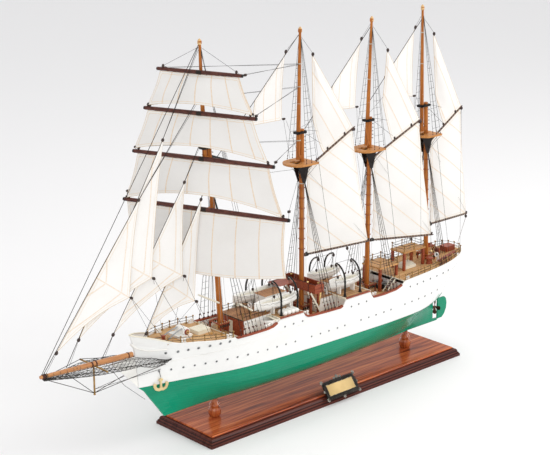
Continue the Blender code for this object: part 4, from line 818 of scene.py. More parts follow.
def hullSide(x, z):
    # how far the planking stands out from the middle line at x and z
    base = ship["seaLine"][0] + ship["seaLine"][1] * x
    top = sheerAt(x)
    s = min(max((z - base) / max(top - base, 1e-6), 0.0), 1.0)
    stem = smoothAt([(0, -.389), (.45, -.392), (.75, -.396), (1, -.403)], s)
    stern = smoothAt([(0, .325), (.25, .338), (.55, .352), (.8, .361), (1, .366)], s)
    u = min(max((x - stem) / (stern - stem), 0.0), 1.0)
    flare = 1 + 0.9 * max(0.0, 1 - u / .22) ** 1.5
    low = smoothAt(waterBreadth, ship["stem"] + u * (ship["counter"] - ship["stem"]))
    high = smoothAt(deckBreadth, ship["bow"] + u * (ship["stern"] - ship["bow"]))
    return low + (high - low) * s ** flare


def sidePoint(x, z, side=-1, proud=0.0):
    # a point on the planking, and the way out of it there
    half = hullSide(x, z)
    step = 0.002
    alongX = Vector((2 * step, side * (hullSide(x + step, z) - hullSide(x - step, z)), 0))
    alongZ = Vector((0, side * (hullSide(x, z + step) - hullSide(x, z - step)), 2 * step))
    out = alongX.cross(alongZ).normalized()
    if out.y * side < 0:
        out = -out
    return Vector((x, side * half, z)) + out * proud, out


def mastX(mast, z, part="lower"):
    x0, z0, x1, z1 = masts[mast][part]
    return x0 + (x1 - x0) * (z - z0) / (z1 - z0)


def mastRadius(mast, z):
    radius = masts[mast]["radius"]
    z0, z1 = masts[mast]["lower"][1::2]
    if z < z1:
        return radius * (1.0 - 0.14 * (z - z0) / (z1 - z0))
    z0, z1 = masts[mast]["top"][1::2]
    return radius * (0.80 - 0.32 * (z - z0) / (z1 - z0))


yards = [(.5917, .0735, -.002, .0027), (.5272, .0975, .001, .0029), (.4550, .1235, .000, .0030),
    (.3728, .1465, .000, .0031)]


def yardPoint(row, along, ahead=0.0, rise=0.0):
    # along is to port from the mast, ahead towards the bow, in the braced yard's own directions
    height, shift = yards[row][::2]
    turn = ship["yardRest"]
    port = Vector((math.sin(turn), -math.cos(turn), 0))
    front = Vector((-math.cos(turn), -math.sin(turn), 0))
    centre = Vector((mastX("fore", height, "top"), 0, height + rise))
    return centre + (ship["yardAhead"] + ahead) * front + (along - shift) * port


rigs = {"main": {"boom": (.2500, .2514, .1442), "gaff": (.3960, .4585, .1083),
    "head": (.0201, .5860), "luff": (.0225, .4800), "tack": (.0440, .4300)},
    "mizzen": {"boom": (.2425, .2285, .1490), "gaff": (.3900, .4465, .1135),
    "head": (.0340, .5720), "luff": (.0270, .4880), "tack": (.0500, .4270)},
    "jigger": {"boom": (.2400, .2468, .0979), "gaff": (.3930, .4530, .0841),
    "head": (.0170, .5860), "luff": (.0225, .4800), "tack": (.0420, .4330)}}
gaffStart = 0.0050


def rigPoint(mast, out, z, aside=0.0):
    # out from the lower mast, aside to port of the boom's line
    turn = ship["rigRest"]
    direction = Vector((math.cos(turn), -math.sin(turn), 0))
    across = Vector((-math.sin(turn), -math.cos(turn), 0))
    return Vector((mastX(mast, z), 0, z)) + out * direction + aside * across


# Sails
sailSetup = {"thick": 0.0005, "rope": 0.00042}
laceStart = .0105                           # of a gaff sail's edges, out from the mast
onGaffRise = .0026                          # of a topsail's foot over the gaff's middle


def edgeDistance(points, loop):
    # how far each point is from a closed line, in metres
    best = np.full(len(points), 1e9)
    ring = np.array(loop)
    for a, b in zip(ring, np.roll(ring, -1, axis=0)):
        d = b - a
        size = max(float(d @ d), 1e-12)
        t = np.clip(((points - a) @ d) / size, 0, 1)
        best = np.minimum(best, np.linalg.norm(points - (a + t[:, None] * d), axis=1))
    return best


def weightedBelly(s, t, seed, wind):
    # soft creases, waves of chance lengths that cross, quiet towards the edges
    rng = random.Random(seed)
    total = 0.0
    for k in range(4):
        fx, fy = rng.uniform(1.2, 3.6), rng.uniform(1.0, 3.0)
        px, py = rng.uniform(0, 6.28), rng.uniform(0, 6.28)
        total += math.sin(fx * 3.1 * s + px) * math.sin(fy * 3.1 * t + py) / (1 + k * 0.7)
    edge = min(s, 1 - s, t, 1 - t)
    return wind * total * min(1.0, edge / 0.12)


def sewSail(name, body, shape, seamOf, axes, rests, columns, rows, skip, cloth="sailLinen"):
    # shape(s, t) is the cloth's middle; seamOf(p, s, t) gives the panel and mitre places, in metres
    flat, area = boxOf(shape, *axes), meshArea(shape)
    grid = [[Vector(shape(i / columns, j / rows)) for i in range(columns + 1)]
        for j in range(rows + 1)]
    width = columns + 1
    flatGrid = [p for line in grid for p in line]
    count = len(flatGrid)
    across = (grid[0][columns] - grid[0][0]).normalized()
    normals = []
    for j in range(rows + 1):
        for i in range(width):
            du = grid[j][min(i + 1, columns)] - grid[j][max(i - 1, 0)]
            dv = grid[min(j + 1, rows)][i] - grid[max(j - 1, 0)][i]
            n = du.cross(dv)
            normals.append(n.normalized() if n.length > 1e-12 else Vector((0, 0, 0)))
    mean = sum(normals, Vector()).normalized()
    normals = [n if n.length > 0.5 else mean for n in normals]
    half = sailSetup["thick"] / 2
    verts = [p + n * half for p, n in zip(flatGrid, normals)]
    verts += [p - n * half for p, n in zip(flatGrid, normals)]
    faces = []
    for j in range(rows):
        for i in range(columns):
            a = j * width + i
            quad = (a, a + 1, a + width + 1, a + width)
            faces.append(quad)
            faces.append(tuple(count + k for k in reversed(quad)))
    rim = list(range(width)) + [j * width + columns for j in range(1, rows + 1)]
    rim += [rows * width + i for i in range(columns - 1, -1, -1)]
    rim += [j * width for j in range(rows - 1, 0, -1)]
    for a, b in zip(rim, rim[1:] + rim[:1]):
        faces.append((b, a, count + a, count + b))
    mesh = bpy.data.meshes.new(name)
    mesh.from_pydata([tuple(v) for v in verts], [], faces)
    mesh.materials.append(finish[cloth])
    places = np.array([tuple(p) for p in flatGrid])
    hem = edgeDistance(places, places[rim])
    seams = [seamOf(p, k % width / columns, k // width / rows) for k, p in enumerate(flatGrid)]
    for key, values in (("panel", [s[0] for s in seams]), ("mitre", [s[1] for s in seams]),
            ("hem", list(hem))):
        mesh.attributes.new(key, "FLOAT", "POINT").data.foreach_set("value", list(values) * 2)
    uv = mesh.uv_layers.new(name="cloth")
    origin, up = flatGrid[0], mean.cross(across).normalized()
    pairs = [((p - origin).dot(across), (p - origin).dot(up)) for p in flatGrid] * 2
    data = [c for loop in mesh.loops for c in pairs[loop.vertex_index]]
    uv.data.foreach_set("uv", data)
    bm = bmesh.new()
    bm.from_mesh(mesh)
    bmesh.ops.remove_doubles(bm, verts=bm.verts, dist=0.00001)
    bmesh.ops.recalc_face_normals(bm, faces=bm.faces)
    bm.to_mesh(mesh)
    bm.free()
    mesh.shade_smooth()
    mesh.set_sharp_from_angle(angle=math.radians(60))
    ob = addPiece(name, mesh, body)
    loop = [places[k] for k in rim]
    rope = laidLines(name + "BoltRope", [(loop + loop[:1], sailSetup["rope"])], "boltRope", 5, body)
    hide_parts(*skip)


def meshArea(shape, n=24):
    total = 0.0
    grid = [[Vector(shape(i / n, j / n)) for i in range(n + 1)] for j in range(n + 1)]
    for j in range(n):
        for i in range(n):
            a, b, c, d = grid[j][i], grid[j][i + 1], grid[j + 1][i + 1], grid[j + 1][i]
            total += ((b - a).cross(c - a).length + (c - a).cross(d - a).length) / 2
    return total


def boxOf(shape, across, up, n=16):
    # the rectangle of cloth that the sail is cut from
    points = [Vector(shape(i / n, j / n)) for i in range(n + 1) for j in range(n + 1)]
    a, b = [p.dot(across) for p in points], [p.dot(up) for p in points]
    return max(a) - min(a), max(b) - min(b)


squareSails = {  # head and foot as shares of the yards, drop of the corners, arch, belly
    "rows": [(.92, .93, .0580, .0113, .0130), (.93, .94, .0657, .0165, .0110),
             (.93, .94, .0775, .0230, .0110), (.95, .96, .0930, -.0100, .0120)],
    "crease": 0.0007,
}


def squareShape(row):
    head, foot, drop, arch, belly = squareSails["rows"][row]
    half, radius = yards[row][1], yards[row][3]
    below = yards[min(row + 1, 3)][1]

    def shape(s, t):
        # s runs from starboard to port, t from the yard down to the foot
        k = -1 + 2 * s
        width = half * head + (below * foot - half * head) * (1 - (1 - t) ** 1.25)
        width -= 0.0035 * math.sin(math.pi * t) * abs(k) ** 3       # the leeches are cut hollow
        curve = belly * (1 - k * k) * math.sin(.62 * math.pi * t)
        curve += weightedBelly(s, t, 11 + row, squareSails["crease"])
        robands = 0.00035 * (1 - math.cos(s * math.tau * 11)) * max(0.0, 1 - t / 0.05)
        fall = radius + .0006 + robands + t * (drop - radius - arch * (1 - k * k))
        return yardPoint(row, k * width, radius * 0.2 + curve, -fall)

    return shape


upward = Vector((0, 0, 1))
yardAcross = (yardPoint(0, 0.1) - yardPoint(0, 0.0)).normalized()
for row in range(4):
    shape = squareShape(row)

    def seamOf(p, s, t, spacing=clothWidths[row], panels=(6, 6.5, 7, 7)[row]):
        return (s * panels + .06) * spacing, 1.0

    sewSail("squareCloth%d" % (row + 1), "fore_yards", shape, seamOf, (yardAcross, upward),
        ["yard_%d" % (row + 1)], 56, 36, ["square_sail_%d" % (row + 1)],
        "squareLinen%d" % (row + 1))
print("stage: square sails")

jibs = [  # name, tack, head, clew as (x, z), aside, stay's head z, foot y, head y
    ("flying_jib", (-.5369, .2096), (-.3820, .4098), (-.4145, .2691), .210, .5620, -.0006, -.0036),
    ("outer_jib", (-.4950, .2192), (-.3303, .4933), (-.3692, .2894), .195, .6290, .0013, .0010),
    ("inner_jib", (-.4321, .2118), (-.2905, .4204), (-.3082, .2792), .190, .4860, 0, 0),
    ("fore_staysail", (-.3689, .1973), (-.2575, .3865), (-.2826, .2308), .180, .4265, 0, 0),
]
bowspritRoot, bowspritTip = Vector((-.3992, 0, .1684)), Vector((-.5685, 0, .1768))


def spritAt(share):
    return bowspritRoot.lerp(bowspritTip, share)


def bowspritTop(x):
    share = (x - bowspritRoot.x) / (bowspritTip.x - bowspritRoot.x)
    return spritAt(share).z + .0046 - .0016 * share


def jibStay(row):
    # foot, point at the sail's head, and head of the stay that a jib is hanked to
    tack, head, stayZ, footY, headY = row[1], row[2], *row[5:]
    slope = (head[1] - tack[1]) / (head[0] - tack[0])
    footX = tack[0] - (tack[1] - .1760) / slope
    footZ = (tableAt(deckTables["forecastle"], footX) if footX > ship["bow"] + .02
        else bowspritTop(footX)) + .0006
    part = "top" if stayZ > .45 else "lower"
    front = mastX("fore", stayZ, part) - mastRadius("fore", stayZ) - .0006
    stayX = front if abs(headY) < .002 else mastX("fore", stayZ, "top") - .0012
    joint = footY + (headY - footY) * (head[1] - footZ) / (stayZ - footZ)
    return (Vector((footX, footY, footZ)), Vector((head[0], joint, head[1])),
        Vector((stayX, headY, stayZ)))


def between(a, b, share):
    # along the line from a to b, both (x, z) or (out, z)
    return a[0] + (b[0] - a[0]) * share, a[1] + (b[1] - a[1]) * share


def jibShape(row, seed):
    tack, head, clew, aside, stayZ, footY, headY = row[1:]
    foot = jibStay(row)[0]

    def shape(s, t):
        # s from the luff aft to the leech, t from the foot up to the head
        back = between(clew, head, t)
        back = (back[0] + .0016 * t ** 6, back[1] - .0004 * t ** 6)
        x, z = between(between(tack, head, t), back, s)
        z += .0090 * math.sin(math.pi * s) * (1 - t) ** 3
        x -= .0016 * s * math.sin(math.pi * t)                      # hollow leech
        abaft = x - (tack[0] + (head[0] - tack[0]) * (z - tack[1]) / (head[1] - tack[1]))
        stayY = footY + (headY - footY) * (z - foot.z) / (stayZ - foot.z)
        full = .0013 + .0022 * math.sin(math.pi * min(1.0, t * 1.15)) * (1 - s * 0.3)
        y = stayY - aside * max(0.0, abaft) - full * math.sin(math.pi * s)
        y += weightedBelly(s, t, seed, .0005)
        return Vector((x, y, z))

    return shape


def jibSeams(row):
    # a mitre from the clew to the luff; cloths above it run with the leech, below with the foot
    low, high, corner = (Vector((p[0], 0, p[1])) for p in row[1:4])
    leech, footLine = (high - corner).normalized(), (low - corner).normalized()
    mitreLine = (leech + footLine).normalized()
    mitreNormal = Vector((-mitreLine.z, 0, mitreLine.x))
    if (high - corner).dot(mitreNormal) < 0:
        mitreNormal = -mitreNormal
    leechNormal = Vector((-leech.z, 0, leech.x))
    footNormal = Vector((-footLine.z, 0, footLine.x))

    def seamOf(p, s, t):
        flatPoint = Vector((p.x, 0, p.z)) - corner
        mitre = flatPoint.dot(mitreNormal)
        across = leechNormal if mitre > 0 else footNormal
        return abs(flatPoint.dot(across)) + clothWidth / 2, mitre

    return seamOf


stayLines = []
for count, row in enumerate(jibs):
    shape = jibShape(row, 40 + count)
    name = row[0]
    tack, head, clew = (Vector((p[0], 0, p[1])) for p in row[1:4])
    luff = (head - tack).normalized()
    sewSail(name.replace("_", "") + "Cloth", "ship", shape, jibSeams(row),
        (luff, Vector((-luff.z, 0, luff.x))), ["foreStays"], 40, 52, [name])
    stayLines.append((jibStay(row), 0.00050))
print("stage: jibs")

staysails = [  # name, head x, high tack x, low tack, clew, stay's foot and top
    ("staysail_main", -.0767, -.1545, (-.1488, .4911), (-.0818, .4895),
     (-.2320, .4420), (-.0472, .6240)),
    ("staysail_mizzen", .0970, .0190, (.0247, .4891), (.0882, .4847),
     (-.0322, .4668), (.1193, .6183)),
    ("staysail_jigger", .2310, .1600, (.1660, .5020), (.2325, .4834),
     (.1225, .4930), (.2481, .6176)),
]
for count, (name, headX, highX, low, clew, foot, top) in enumerate(staysails):
    slope = (top[1] - foot[1]) / (top[0] - foot[0])
    head = (headX, foot[1] + slope * (headX - foot[0]))
    high = (highX, foot[1] + slope * (highX - foot[0]))

    def shape(s, t, head=head, high=high, low=low, clew=clew, seed=60 + count):
        front, back = between(high, head, t), between(clew, (head[0] + .0014, head[1]), t)
        drop = max(0.0, 1 - t * 6)
        front = (front[0] + (low[0] - high[0]) * drop, front[1] + (low[1] - high[1]) * drop)
        x, z = between(front, back, s)
        x -= .0020 * s * math.sin(math.pi * t)
        y = .0030 * s + .0030 * math.sin(math.pi * s) * math.sin(math.pi * t)
        y += weightedBelly(s, t, seed, .0004)
        return Vector((x, y, z))

    corner = Vector((clew[0], 0, clew[1]))
    leech = (Vector((head[0], 0, head[1])) - corner).normalized()
    leechNormal = Vector((-leech.z, 0, leech.x))

    def seamOf(p, s, t, corner=corner, leechNormal=leechNormal):
        return abs((Vector((p.x, 0, p.z)) - corner).dot(leechNormal)) + clothWidth / 2, 1.0

    sewSail(name.replace("_", "") + "Cloth", "ship", shape, seamOf, (Vector((1, 0, 0)), upward),
        ["mastStays"], 36, 48, [name])
    stayLines.append(((Vector((foot[0], 0, foot[1])), Vector((top[0], 0, top[1]))), 0.00050))
laidLines("foreStays", stayLines[:4], "tarredLine")
laidLines("mastStays", stayLines[4:], "tarredLine")
print("stage: staysails")


def gaffShapes(mast):
    rig = rigs[mast]
    z0, z1, length = rig["boom"]
    g0, g1, reach = rig["gaff"]
    slope = (g1 - g0) / (reach - gaffStart)
    seed = {"main": 71, "mizzen": 72, "jigger": 73}[mast]

    def lower(s, t):
        footEnd, headEnd = length * .962, reach * .945
        footOut = laceStart + s * (footEnd - laceStart)
        headOut = laceStart + s * (headEnd - laceStart)
        footZ = z0 + (z1 - z0) * footOut / length + .0023
        headZ = g0 + slope * (headOut - gaffStart) - .0025
        out = footOut + (headOut - footOut) * t - .0016 * s * math.sin(math.pi * t)
        z = footZ + (headZ - footZ) * t
        belly = .0065 * math.sin(math.pi * s) ** .8 * math.sin(math.pi * t)
        hoops = .0007 * (1 - math.cos(t * math.tau * 9)) * max(0.0, 1 - s / .06)
        return rigPoint(mast, out + hoops, z, belly + weightedBelly(s, t, seed, .0007))

    head, luff, tack = rig["head"], rig["luff"], rig["tack"]
    peakOut = reach * .955
    peak = (peakOut, g0 + slope * (peakOut - gaffStart) + onGaffRise)
    tackZ = g0 + slope * (tack[0] - gaffStart) + onGaffRise

    def upper(s, t):
        if t < .35:
            k = t / .35
            left = (tack[0] + (luff[0] - tack[0]) * k ** .8, tackZ + (luff[1] - tackZ) * k)
        else:
            k = (t - .35) / .65
            left = between(luff, head, k)
        out, z = between(left, between(peak, (head[0] + .0022, head[1]), t), s)
        onGaff = g0 + slope * (out - gaffStart) + onGaffRise
        if t < .12:
            z += (max(z, onGaff) - z) * (1 - t / .12)
        belly = .0035 * math.sin(math.pi * s) * math.sin(math.pi * t)
        return rigPoint(mast, out, z, belly + weightedBelly(s, t, seed + 10, .0005))

    return lower, upper


for mast in rigs:
    lower, upper = gaffShapes(mast)
    body = mast + "_rig"
    rig = rigs[mast]
    out = (rigPoint(mast, 1.0, .3) - rigPoint(mast, 0.0, .3)).normalized()
    foot = rigPoint(mast, rig["boom"][2] * .962, rig["boom"][1])
    rake = math.radians(38)
    downNormal = out * math.sin(rake) + upward * math.cos(rake)

    def seamOf(p, s, t, foot=foot, downNormal=downNormal):
        return (p - foot).dot(downNormal) + 5.0 * clothWidth, 1.0

    sewSail("gaffCloth" + mast.capitalize(), body, lower, seamOf, (out, upward),
        ["gaff_" + mast, "boom_" + mast], 48, 64, ["gaff_sail_" + mast])
    headPoint = rigPoint(mast, rig["head"][0], rig["head"][1])
    topLeech = (headPoint - rigPoint(mast, rig["gaff"][2] * .955, rig["gaff"][1])).normalized()
    topNormal = (out - topLeech * out.dot(topLeech)).normalized()

    def topSeam(p, s, t, headPoint=headPoint, topNormal=topNormal):
        return abs((p - headPoint).dot(topNormal)) + clothWidth / 2, 1.0

    sewSail("topsailCloth" + mast.capitalize(), body, upper, topSeam, (out, upward),
        ["gaff_" + mast], 36, 56, ["topsail_" + mast])
print("stage: gaff sails and topsails")


# Standing rigging: shrouds with ratlines, backstays, futtocks, the bowsprit's stays
shroudSetup = {"radius": .00042, "thin": .00028, "ratline": .00022, "ratlineStep": .0118,
    "lanyard": .00020, "railRise": .0014}
lowerShrouds = {  # height at the mast, where each shroud meets the rail
    "fore": (.3940, (-.2195, -.2100, -.2005, -.1910)),
    "main": (.3880, (-.0320, -.0242, -.0165, -.0090)),
    "mizzen": (.3830, (.1200, .1282, .1364, .1446)),
    "jigger": (.3860, (.2640, .2705, .2770, .2835)),
}
backstays = {  # height at the mast, where each meets the rail
    "fore": (.6260, (-.1850, -.1760, -.1675)),
    "main": (.6180, (.0005,)),
    "mizzen": (.6180, (.1530,)),
    "jigger": (.6240, (.2950,)),
}
topRims = {  # platform's height, half breadth, and places along it for the topmast shrouds
    "main": (.4135, .0232, (-.0110, .0005, .0125)),
    "mizzen": (.4105, .0232, (-.0110, .0005, .0125)),
    "jigger": (.4130, .0232, (-.0070, .0030, .0130)),
}
foreSpread = {"height": .4520, "half": .0262, "places": (.0078, .0112, .0146)}    # abaft the mast


def railPoint(x, side, rise=0.0):
    return Vector((x, side * (deckHalf(x) - .0012), sheerAt(x) + shroudSetup["railRise"] + rise))


def ratlinesBetween(ropes, low, high, step, radius):
    # level lines across a set of shrouds, given as (top, bottom) pairs
    rows = []
    z = low
    rng = random.Random(int(low * 10000) + len(ropes))
    while z < high:
        points = []
        for top, bottom in ropes:
            share = (z - bottom.z + rng.uniform(-.0004, .0004)) / (top.z - bottom.z)
            points.append(bottom.lerp(top, share))
        if len(points) > 1:
            rows.append((points, radius))
        z += step
    return rows


standing, ratlines, lanyards, deadeyeSpots = [], [], [], []
for mast, (topZ, places) in lowerShrouds.items():
    for side in (-1, 1):
        ropes = []
        for count, x in enumerate(places):
            top = Vector((mastX(mast, topZ) + .0006 * count, side * mastRadius(mast, topZ),
                topZ - .0016 * count))
            foot = railPoint(x, side)
            aim = (top - foot).normalized()
            lowEye, highEye = foot + aim * .0022, foot + aim * .0102
            standing.append(([top, highEye + aim * .0012], shroudSetup["radius"]))
            ropes.append((top, highEye))
            for eye in (lowEye, highEye):
                deadeyeSpots.append(spot(eye, (0, side, .25), 1.0))
            for shift in (-.0007, 0, .0007):
                lanyards.append(([lowEye + Vector((shift, side * .0004, .0006)),
                    highEye + Vector((shift, side * .0004, -.0006))], shroudSetup["lanyard"]))
            lanyards.append(([foot + Vector((0, side * .0006, -.0016)), lowEye], .0004))
        ratlines += ratlinesBetween(ropes[:3], ropes[0][1].z + .012, topZ - .022,
            shroudSetup["ratlineStep"], shroudSetup["ratline"])
for mast, (topZ, places) in backstays.items():
    for side in (-1, 1):
        for count, x in enumerate(places):
            top = Vector((mastX(mast, topZ, "top") + .0008, side * mastRadius(mast, topZ),
                topZ - .0014 * count))
            foot = railPoint(x, side)
            aim = (top - foot).normalized()
            standing.append(([top, foot + aim * .0100], shroudSetup["thin"]))
            deadeyeSpots.append(spot(foot + aim * .0020, (0, side, .25), .8))
            deadeyeSpots.append(spot(foot + aim * .0098, (0, side, .25), .8))
            lanyards.append(([foot + Vector((0, side * .0006, -.0016)), foot + aim * .0098], .0003))
for mast, (height, half, places) in topRims.items():
    head = masts[mast]["top"][3] - .0200
    for side in (-1, 1):
        ropes = []
        for count, along in enumerate(places):
            rim = Vector((mastX(mast, height) + along, side * half, height + .0006))
            top = Vector((mastX(mast, head, "top") + .0004 * count, side * mastRadius(mast, head),
                head - .0016 * count))
            ropes.append((top, rim))
            aim = (top - rim).normalized()
            standing.append(([top, rim + aim * .0060], shroudSetup["thin"]))
            deadeyeSpots.append(spot(rim + aim * .0012, (0, side, 0), .62))
            deadeyeSpots.append(spot(rim + aim * .0062, (0, side, 0), .62))
            lanyards.append(([rim + aim * .0012, rim + aim * .0062], .0003))
            under = Vector((mastX(mast, height - .0300), side * mastRadius(mast, height - .03),
                height - .0300 - .0012 * count))
            standing.append(([rim + Vector((0, 0, -.0044)), under], shroudSetup["thin"]))
        ratlines += ratlinesBetween(ropes, height + .0130, head - .045, shroudSetup["ratlineStep"],
            shroudSetup["ratline"])
height, half, places = foreSpread.values()
for side in (-1, 1):                     # the fore topmast's shrouds spread over a crosstree
    ropes = []
    for count, along in enumerate(places):
        top = Vector((mastX("fore", .622, "top"), side * mastRadius("fore", .622),
            .6225 - .0016 * count))
        arm = Vector((mastX("fore", height) + along, side * half, height))
        low = Vector((mastX("fore", .404), side * mastRadius("fore", .404), .4040 - .0012 * count))
        ropes.append((top, arm))
        standing.append(([top, arm, low], shroudSetup["thin"]))
    ratlines += ratlinesBetween(ropes, height + .0100, .5700, shroudSetup["ratlineStep"],
        shroudSetup["ratline"])
crosstrees = []
mastAt = mastX("fore", height)
for x in (mastAt + along for along in places):
    crosstrees.append(boxShape((x - .0009, -half - .0008, height - .0009),
        (x + .0009, half + .0008, height + .0009), .0003))
for y in (-.0048, .0048):
    crosstrees.append(boxShape((mastAt - .0046, y - .0008, height - .0024),
        (mastAt + .0162, y + .0008, height - .0009), .0003))
pieceFrom("foreCrosstrees", crosstrees, "blackIron")

bowStays = {"strikerFoot": (-.4727, 0.0, .1250), "tip": (-.5640, 0.0, .1735),
    "mid": (-.5230, 0, .1712), "knee": (-.3760, 0, .0866), "spreader": (-.4720, .0330, .1708)}
heel = Vector(bowStays["strikerFoot"])
standing += [([heel, Vector(bowStays["tip"])], .00055), ([heel, Vector(bowStays["mid"])], .00055)]
for side in (-1, 1):
    x, z, y = *bowStays["spreader"][::2], side * bowStays["spreader"][1]
    catHead, out = sidePoint(-.3460, .1430, side, .0002)
    standing.append(([heel, catHead], .00050))
    standing.append(([Vector(bowStays["tip"]) + Vector((0, side * .002, 0)), Vector((x, y, z)),
        catHead + Vector((.004, 0, .004))], .00050))
    standing.append(([Vector((x, y * .72, z)), sidePoint(-.3440, .1450, side, .0002)[0]], .00030))
    standing.append(([heel + Vector((0, 0, .006)), sidePoint(-.3530, .1350, side, .0002)[0]],
        .00030))
standing.append(([Vector((-.4530, -.0120, .1668)), Vector((-.4180, -.0030, .1230)),
    Vector(bowStays["knee"])], .00034))
laidLines("shroudsAndStays", standing, "tarredLine")
laidLines("ratlines", ratlines, "tarredLine", 4)
laidLines("lanyards", lanyards, "tarredLine", 5)
deadeye = turnedShape([(.0006, -.0008), (.0014, -.0007), (.0017, -.0004), (.0015, -.00005),
    (.0015, .00005), (.0017, .0004), (.0014, .0007), (.0006, .0008)], 12)
setOut("deadeyes", deadeye, deadeyeSpots, "darkSpar")
print("stage: standing rigging,", len(deadeyeSpots), "deadeyes")


# Running rigging, with a block wherever a line turns
def blockShape():
    # two round cheeks with the strop's groove between, a becket above
    cheeks = turnedShape([(.30, -1.0), (.78, -.92), (1.0, -.62), (1.0, -.34), (.80, -.22),
        (.80, .22), (1.0, .34), (1.0, .62), (.78, .92), (.30, 1.0)], 10)
    turned = Matrix.Rotation(math.pi / 2, 4, "X")
    cheeks = shifted(cheeks, (0, 0, 0), Matrix.Diagonal((1.0, .72, 1.28, 1)) @ turned)
    becket = turnedShape([(.24, 1.05), (.34, 1.3), (.30, 1.6), (.16, 1.75)], 6)
    return gather([cheeks, becket])


blockSize = .0025
blocksOn = {body: [] for body in ("ship", "fore_yards", "main_rig", "mizzen_rig", "jigger_rig")}


def hangBlock(body, place, aim=(0, 0, 1), size=None):
    blocksOn[body].append(spot(place, aim, size or blockSize, front=(.7, -.7, .1)))


def crossing(name, body, start, end, radius=.00026, key="tarredLine"):
    # a line from a moving body to the ship
    points = [Vector(start).lerp(Vector(end), i / 12) for i in range(13)]
    ob = bpy.data.objects.new(name, lineMesh(name, [(points, radius)], key, 5))
    bpy.context.collection.objects.link(ob)
    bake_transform(ob)


onYards, shipLines = [], []
braces = [  # yard, brace's block off the yardarm, where it meets the main mast or its top
    (0, (.0100, 0, .0000), .5770), (1, (.0040, 0, .0040), .5396),
    (2, (.0080, 0, .0060), .4503), (3, (.0040, 0, .0130), .4010)]
for row, hang, mainZ in braces:
    height, half, shift, radius = yards[row]
    for side, word in ((1, "Port"), (-1, "Starboard")):
        arm = yardPoint(row, side * (half - .0045))
        block = arm + Vector((hang[0], 0, hang[2])) + Vector((0, side * -.0004, 0))
        onYards.append(([yardPoint(row, side * (half - .0030), -radius), block], .00028))
        hangBlock("fore_yards", block, (.9, side * .2, .1))
        part = "top" if mainZ > .42 else "lower"
        onMast = Vector((mastX("main", mainZ, part), -side * .0004, mainZ))
        onMast += Vector((-mastRadius("main", mainZ), -side * .001, 0))
        crossing("brace%d%s" % (row + 1, word), "fore_yards", block, onMast)
        if row < 3:
            crossing("braceFall%d%s" % (row + 1, word), "fore_yards",
                block + Vector((0, 0, .0012)), onMast + Vector((0, 0, -.0016)), .00022)
        # the block for the sheet above, and the one for the lift
        top = yardPoint(row, side * (half - .0105), 0, radius + .0024)
        hangBlock("fore_yards", top, (0, 0, -1), .0021)
        onYards.append(([yardPoint(row, side * (half - .0105), 0, radius * .9), top], .0003))
        lift = Vector((mastX("fore", .6280, "top"), -side * .003, .6285 - .002 * row))
        if row == 0:
            crossing("lift" + word, "fore_yards", top, lift, .00026)
            crossing("liftInner" + word, "fore_yards",
                yardPoint(0, side * (half - .006), 0, radius), lift, .00022)
        if row > 0:                      # sheets of the sail above, clew to yardarm
            shape = squareShape(row - 1)
            clew = Vector(shape(1.0 if side > 0 else 0.0, 1.0))
            onYards.append(([clew, yardPoint(row, side * half * .945, 0, radius)], .00035))
            hangBlock("fore_yards", clew + Vector((0, 0, .0016)), (0, side, 1), .0017)
    # the band at the middle of the yard
    onYards.append(([yardPoint(row, -.004, .001), yardPoint(row, .004, .001)], radius + .0007))
laidLines("yardLines", onYards, "tarredLine", body="fore_yards")

sheetEnds = [(-.3520, -.0220, .1865), (-.3130, -.0400, .1790), (-.2790, -.0480, .1760),
    (-.2700, -.0500, .1745)]
for count, row in enumerate(jibs):
    shape = jibShape(row, 40 + count)
    corner, top, low = Vector(shape(1, 0)), Vector(shape(0, 1)), Vector(shape(0, 0))
    out = Vector((corner.x + .0040, corner.y - .0004, corner.z - .0018))
    hangBlock("ship", out, (-.8, 0, .5))
    shipLines.append(([corner, out], .0003))
    end = Vector(sheetEnds[count])
    shipLines.append(([out, end], .00026))
    shipLines.append(([out + Vector((0, .001, 0)), Vector((end.x + .004, -end.y, end.z))], .00024))
    hangBlock("ship", low + (low - top).normalized() * .0030, (top - low).normalized())
    hangBlock("ship", top + (top - low).normalized() * .0030, (low - top).normalized(), .0023)
    stay = jibStay(row)
    halyardTop = stay[2] + Vector((-.001, -.002, -.004))
    shipLines.append(([top + (top - low).normalized() * .004, halyardTop], .00026))
    shipLines.append(([low, stay[0] + Vector((.004, -.002, .002))], .00026))
for count, (name, headX, highX, low, clew, foot, top) in enumerate(staysails):
    slope = (top[1] - foot[1]) / (top[0] - foot[0])
    headZ = foot[1] + slope * (headX - foot[0])
    for place, aim, size in (((headX + .003, .001, headZ + .0050), (-.5, 0, -1), .0025),
            ((clew[0] + .0050, .003, clew[1] + .0005), (1, 0, 0), .0025),
            ((low[0] - .0004, -.0006, low[1] - .0034), (-.2, 0, -1), .0017),
            ((highX - .0024, -.0010, foot[1] + slope * (highX - foot[0]) - .0016), (-1, 0, .4),
            .0017)):
        hangBlock("ship", Vector(place), aim, size)
    aft = ("main", "mizzen", "jigger")[count]
    at = Vector((mastX(aft, .6280, "top") - .003, .0006, .6230))
    shipLines.append(([Vector((headX + .003, .001, headZ + .0060)), at], .00024))
    sheet = Vector((clew[0] + .0050, .003, clew[1] - .0010))
    rim = Vector((mastX(aft, .42) - .014, .0130, .4140 if aft != "mizzen" else .4110))
    shipLines.append(([sheet, rim], .00022))
    shipLines.append(([sheet + Vector((0, -.006, 0)), rim + Vector((.001, -.026, 0))], .00022))
    fore = ("fore", "main", "mizzen")[count]
    hold = Vector((mastX(fore, .475, "top") + .002, 0, .4700))
    shipLines.append(([Vector((low[0] - .003, 0, low[1] - .002)), hold], .00022))
laidLines("runningLines", shipLines, "tarredLine", 5)

